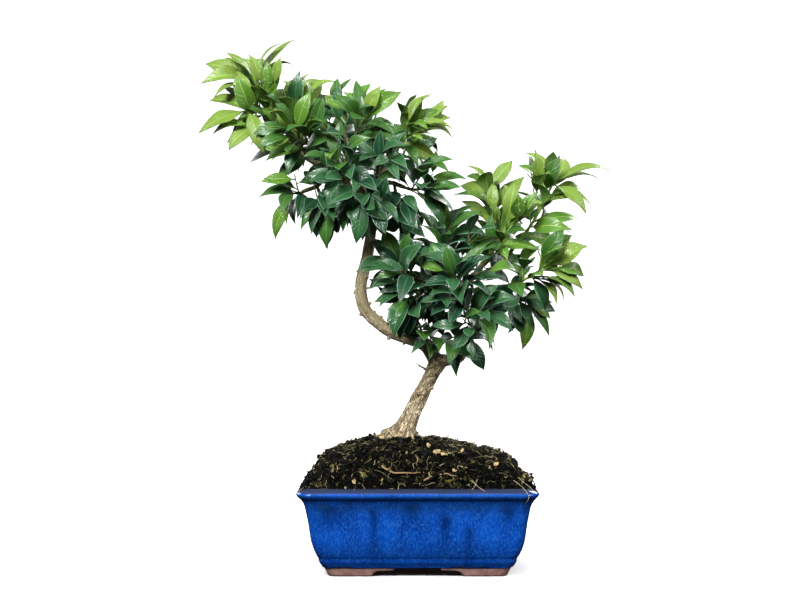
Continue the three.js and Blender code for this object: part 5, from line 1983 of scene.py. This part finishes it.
def speck_shape(points, rng):
    """A small pale speck on the top of a blade: a low dome with flat sides."""
    rows, columns = len(STATIONS), len(COLUMNS)
    r = int(rng.integers(*SPECK_ROWS))
    c = int(rng.choice(SPECK_COLUMNS))
    a, b, d = (points[i] for i in (r * columns + c, r * columns + c + 1, (r + 1) * columns + c))
    across, ahead = b - a, d - a
    spot = a + across * rng.uniform(0.1, 0.9) + ahead * rng.uniform(0.1, 0.9)
    across = across / np.linalg.norm(across)
    out = np.cross(across, ahead)
    out /= np.linalg.norm(out)
    if np.dot(out, points[r * columns + c] - points[(rows + r) * columns + c]) < 0:
        out = -out
    ahead = np.cross(out, across)
    radius = rng.uniform(*SPECK_RADIUS)
    n = SPECK_SIDES
    angles = turns(n)
    ring = np.outer(np.cos(angles), across) + np.outer(np.sin(angles), ahead)
    foot = spot + ring * radius - out * SPECK_FOOT
    dome = np.vstack((foot, spot + ring * radius * 0.6 + out * SPECK_RISE))
    faces = [(i, (i + 1) % n, n + (i + 1) % n, n + i) for i in range(n)]
    return dome, faces + [tuple(reversed(range(n))), tuple(range(n, 2 * n))]


# How a leaf's youth follows from its mass, its place on the shoot and chance, and the least youth of
# each kind. Leaves low on a shoot and inside the crown come out older and darker, partly as painted shade,
# and outline leaves a little younger.
AGE_AND_SHADE = dict(mass=0.74, place=0.44, less=0.05, chance=0.12, outer=0.1)
LEAST_YOUTH = {YOUNG: 0.92, FRESH: 0.72, MATURE: 0.5, DARK: 0.25}
# Which of the three tones of underside, rib and margin goes with each kind.
TONES = (0, 0, 1, 2, 2)


def leaf_kind(leaf, rng):
    """How young a leaf is: bright at the tips of young sprays, dark and bluish inside the crown, where the
    dark is partly age and partly painted shade.
    """
    youth = leaf.mass.youth * AGE_AND_SHADE["mass"] + leaf.place * AGE_AND_SHADE["place"] - AGE_AND_SHADE["less"]
    youth += rng.normal() * AGE_AND_SHADE["chance"]
    if leaf.outer:
        youth += AGE_AND_SHADE["outer"]
    return next((kind for kind, least in LEAST_YOUTH.items() if youth > least), OLD)


# Leaves on a dead twig of the leader: foot, tip and width in millimetres.
LONE_LEAVES = [((-34.5, -9, 243.6), (-25, -12, 233.5), 5), ((-35, -9, 243.8), (-41, -11, 249.5), 3.6)]
LONE_SEED = 3
# Skins of leaves: their kinds by age, the darker ones partly painted shade inside the crown, then
# undersides, ribs, margins and tips, with their roughness.
SKINS = [
    ("young leaf skin", "75933a", 0.38),
    ("fresh leaf skin", "57832b", 0.36),
    ("mature leaf skin", "3a6826", 0.35),
    ("dark leaf skin", "2d5b32", 0.33),
    ("old leaf skin", "1b452a", 0.33),
    ("young leaf underside", "648a3c", 0.6),
    ("mature leaf underside", "3d6238", 0.6),
    ("dark leaf underside", "2f4f38", 0.6),
    ("young leaf rib", "9cb855", 0.45),
    ("mature leaf rib", "628a4a", 0.45),
    ("dark leaf rib", "4a7a55", 0.45),
    ("young leaf margin", "668c3c", 0.45),
    # Margins of mature and dark leaves are painted paler than their blades: a painted highlight along the
    # edge.
    ("mature leaf margin highlight", "5f8a55", 0.45),
    ("dark leaf margin highlight", "7aa286", 0.45),
    ("young leaf tip", "56652f", 0.5),
    ("dark leaf tip", "2c4a34", 0.5),
]


class BONSAI_OT_leaves(bpy.types.Operator):
    """Grows the leaves, each with its stalk, fold, rib and curled tip"""

    bl_idname = "bonsai.leaves"
    bl_label = "Leaves"

    def execute(self, context):
        settings = context.scene.bonsai_leaf
        _, masses = grown()
        materials = [leaf_matter(*skin) for skin in SKINS]
        materials.append(plain_matter("pale leaf speck", "d9e6c8", 0.4, 0.3))
        for group, members in GROUPS.items():
            names = members.split()
            leaves = Gathering()
            for mass in masses:
                if mass.name in names:
                    self.add_mass(leaves, mass, settings)
            if group == "inner":
                self.add_lone_leaves(leaves, settings)
            nodes = ["foliage_" + name for name in names]
            piece_name = "leaves_" + group
            mesh = leaves.mesh(piece_name, 40)
            note_points(mesh, "vein", np.concatenate(leaves.notes))
            place_piece(piece_name, mesh, materials, nodes)
        return {"FINISHED"}

    def add_mass(self, leaves, mass, settings):
        rng = np.random.default_rng(mass.seed)
        for leaf in mass.leaves:
            kind = leaf_kind(leaf, rng)
            tone = TONES[kind]
            # Margins of mature and dark leaves take paler skins, a painted highlight along the edge.
            looks = {
                "blade": kind, "under": UNDER + tone, "rib": RIB + tone, "rib under": RIB + min(tone, 1),
                "margin": MARGIN + tone, "tip": TIP + min(tone, 1),
            }
            points = leaf_points(leaf, settings, rng)
            leaves.add(points, LEAF_FACES, [looks[part] for part in LEAF_PARTS], LEAF_VEINS)
            if kind <= FRESH:
                for _ in range(int(rng.integers(0, settings.specks + 1))):
                    leaves.add(*speck_shape(points, rng), SPECK)

    def add_lone_leaves(self, leaves, settings):
        rng = np.random.default_rng(LONE_SEED)
        dull, rib = UNDER + 2, RIB + 1
        looks = {"blade": dull, "under": dull, "rib": rib, "rib under": rib, "margin": TIP, "tip": TIP}
        for foot, tip, width in LONE_LEAVES:
            reach = Vector(tip) - Vector(foot)
            forward = reach.normalized()
            up = (LIGHT - forward * LIGHT.dot(forward)).normalized()
            leaf = SimpleNamespace(
                foot=Vector(foot), forward=forward, up=up, length=reach.length, width=width, outer=True
            )
            points = leaf_points(leaf, settings, rng)
            leaves.add(points, LEAF_FACES, [looks[part] for part in LEAF_PARTS], LEAF_VEINS)


# Stage


class StageSettings(bpy.types.PropertyGroup):
    camera_distance: FloatProperty(
        name="Distance", description="Camera to the middle of the pot", default=1.375, min=0.2, unit="LENGTH"
    )
    camera_height: FloatProperty(
        name="Height", description="Height of the level camera", default=0.231, min=0, unit="LENGTH"
    )
    camera_aside: FloatProperty(
        name="Aside", description="Camera to the right of the pot's middle", default=-0.01475, unit="LENGTH"
    )
    lens: FloatProperty(name="Lens", description="Focal length in millimetres", default=71.4, min=10)
    floor_colour: FloatVectorProperty(
        name="Floor", description="Colour of the paper floor", subtype="COLOR", default=linear("f6f6f5")[:3],
        min=0, max=1,
    )
    floor_glow: FloatProperty(
        name="Glow", description="Light that comes through the paper behind the plant", default=1.0, min=0
    )


# How far out the paper begins to glow, in metres, and how much it does.
PAPER_GLOW = [(0.09, 0), (0.14, 0.75), (1, 1)]


# Lamps: places from the middle of the plant, widths in metres and power in watts.
LAMPS = {
    "key": ((-0.8, -1.7, 1.2), 0.8, 74),
    "fill": ((1.2, -0.9, 0.6), 0.7, 16),
    "top": ((0.1, -0.4, 1.5), 2.2, 7),
    "back": ((0.8, 1.1, 0.8), 0.7, 15),
    "back left": ((-1.1, 0.9, 0.5), 0.7, 9),
}
PLANT_MIDDLE = 0.25
# The paper lies flat out to its start, bends up and stands to its top, in metres.
PAPER = dict(start=1.8, bend=1.0, top=4.0, sides=64, steps=12)
# Light of the room from low to high, and the slopes between which it changes.
ROOM_LIGHT = (0.015, 0.13)
ROOM_SLOPES = (-0.2, 0.5)


class BONSAI_OT_stage(bpy.types.Operator):
    """Sets a pale paper floor, soft studio lights and the camera"""

    bl_idname = "bonsai.stage"
    bl_label = "Floor, lights and camera"

    def execute(self, context):
        settings = context.scene.bonsai_stage
        self.lay_floor(settings)
        self.light_world(context.scene)
        middle = POT_MIDDLE + Vector((0, 0, PLANT_MIDDLE))
        for name, (place, size, power) in LAMPS.items():
            self.add_light(name, middle + Vector(place), middle, size, power)
        self.set_camera(context.scene, settings)
        return {"FINISHED"}

    def lay_floor(self, settings):
        """White paper laid in a wide round bowl, so that it is behind the plant from every side."""
        start, bend, top, sides, steps = PAPER.values()
        profile = [(0.01, 0), (start, 0)]
        for i in range(1, steps + 1):
            angle = i / steps * math.pi / 2
            profile.append((start + bend * math.sin(angle), bend - bend * math.cos(angle)))
        profile.append((start + bend, top))
        angles = [2 * math.pi * i / sides for i in range(sides)]
        points = [(r * math.cos(a), r * math.sin(a), z) for r, z in profile for a in angles]
        faces = []
        for row in range(0, len(points) - sides, sides):
            for i in range(sides):
                following = row + (i + 1) % sides
                faces.append((row + i, following, following + sides, row + i + sides))
        mesh = bpy.data.meshes.new("paper")
        mesh.from_pydata(points, [], faces + [tuple(range(sides))])
        mesh.shade_smooth()
        paper = bpy.data.objects.new("paper", mesh)
        # The plant gets its light from the lamps and the room alone, so its shadows stay deep.
        paper.visible_diffuse = False
        paper.visible_glossy = False
        paper.visible_shadow = False
        bpy.context.scene.collection.objects.link(paper)
        material, add, shader, place = new_material("backlit studio paper")
        reach = add("VectorMath", {"Vector": place}, operation="LENGTH")
        glow = add("ValToRGB", {"Fac": reach}, [(at, (share, share, share, 1)) for at, share in PAPER_GLOW])
        strength = add("Math", {0: glow, 1: settings.floor_glow}, operation="MULTIPLY")
        finish(
            shader, Base_Color=opaque(settings.floor_colour), Roughness=0.9, Specular_IOR_Level=0,
            Emission_Color=linear("ffffff"), Emission_Strength=strength,
        )
        mesh.materials.append(material)

    def light_world(self, scene):
        """A dim room, darker towards the floor."""
        world = bpy.data.worlds.new("dim studio")
        world.use_nodes = True
        tree = world.node_tree
        way = add_node(tree, "TexCoord").outputs["Generated"]
        height = add_node(tree, "SeparateXYZ", {"Vector": way}).outputs["Z"]
        low, high = ROOM_SLOPES
        dim, bright = ROOM_LIGHT
        strength = add_node(
            tree, "MapRange",
            {"Value": height, "From Min": low, "From Max": high, "To Min": dim, "To Max": bright},
        )
        finish(tree.nodes["Background"], Color=linear("ffffff"), Strength=strength)
        scene.world = world
        scene.view_settings.view_transform = "Standard"

    def add_light(self, name, place, target, size, power):
        light = bpy.data.lights.new(name, "AREA")
        light.shape = "DISK"
        light.size = size
        light.energy = power
        lamp = bpy.data.objects.new(name, light)
        lamp.location = place
        lamp.rotation_euler = (target - place).to_track_quat("-Z", "Y").to_euler()
        bpy.context.scene.collection.objects.link(lamp)

    def set_camera(self, scene, settings):
        data = bpy.data.cameras.new("camera")
        data.lens = settings.lens
        data.sensor_width = 36
        camera = bpy.data.objects.new("camera", data)
        camera.location = POT_MIDDLE + Vector(
            (settings.camera_aside, -settings.camera_distance, settings.camera_height)
        )
        camera.rotation_euler = (math.pi / 2, 0, 0)
        scene.collection.objects.link(camera)
        scene.camera = camera


class BONSAI_PT_panel(bpy.types.Panel):
    bl_label = "Bonsai"
    bl_idname = "BONSAI_PT_panel"
    bl_space_type = "VIEW_3D"
    bl_region_type = "UI"
    bl_category = "Bonsai"

    def draw(self, context):
        for name, settings in SETTINGS.items():
            box = self.layout.box()
            group = getattr(context.scene, name)
            for field in settings.__annotations__:
                box.prop(group, field)
        for operator in OPERATORS:
            self.layout.operator(operator.bl_idname)


SETTINGS = {
    "bonsai_pot": PotSettings,
    "bonsai_soil": SoilSettings,
    "bonsai_wood": WoodSettings,
    "bonsai_leaf": LeafSettings,
    "bonsai_stage": StageSettings,
}
OPERATORS = [
    BONSAI_OT_pot,
    BONSAI_OT_feet,
    BONSAI_OT_soil,
    BONSAI_OT_debris,
    BONSAI_OT_bark,
    BONSAI_OT_twigs,
    BONSAI_OT_leaves,
    BONSAI_OT_stage,
]


def register():
    for name, settings in SETTINGS.items():
        bpy.utils.register_class(settings)
        setattr(bpy.types.Scene, name, PointerProperty(type=settings))
    for part in [*OPERATORS, BONSAI_PT_panel]:
        bpy.utils.register_class(part)


def unregister():
    for part in [BONSAI_PT_panel, *reversed(OPERATORS)]:
        bpy.utils.unregister_class(part)
    for name, settings in SETTINGS.items():
        delattr(bpy.types.Scene, name)
        bpy.utils.unregister_class(settings)


def main():
    register()
    bpy.ops.bonsai.pot()
    bpy.ops.bonsai.feet()
    bpy.ops.bonsai.soil()
    bpy.ops.bonsai.debris()
    bpy.ops.bonsai.bark()
    bpy.ops.bonsai.twigs()
    bpy.ops.bonsai.leaves()
    bpy.ops.bonsai.stage()
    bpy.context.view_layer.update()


if __name__ == "__main__":
    main()
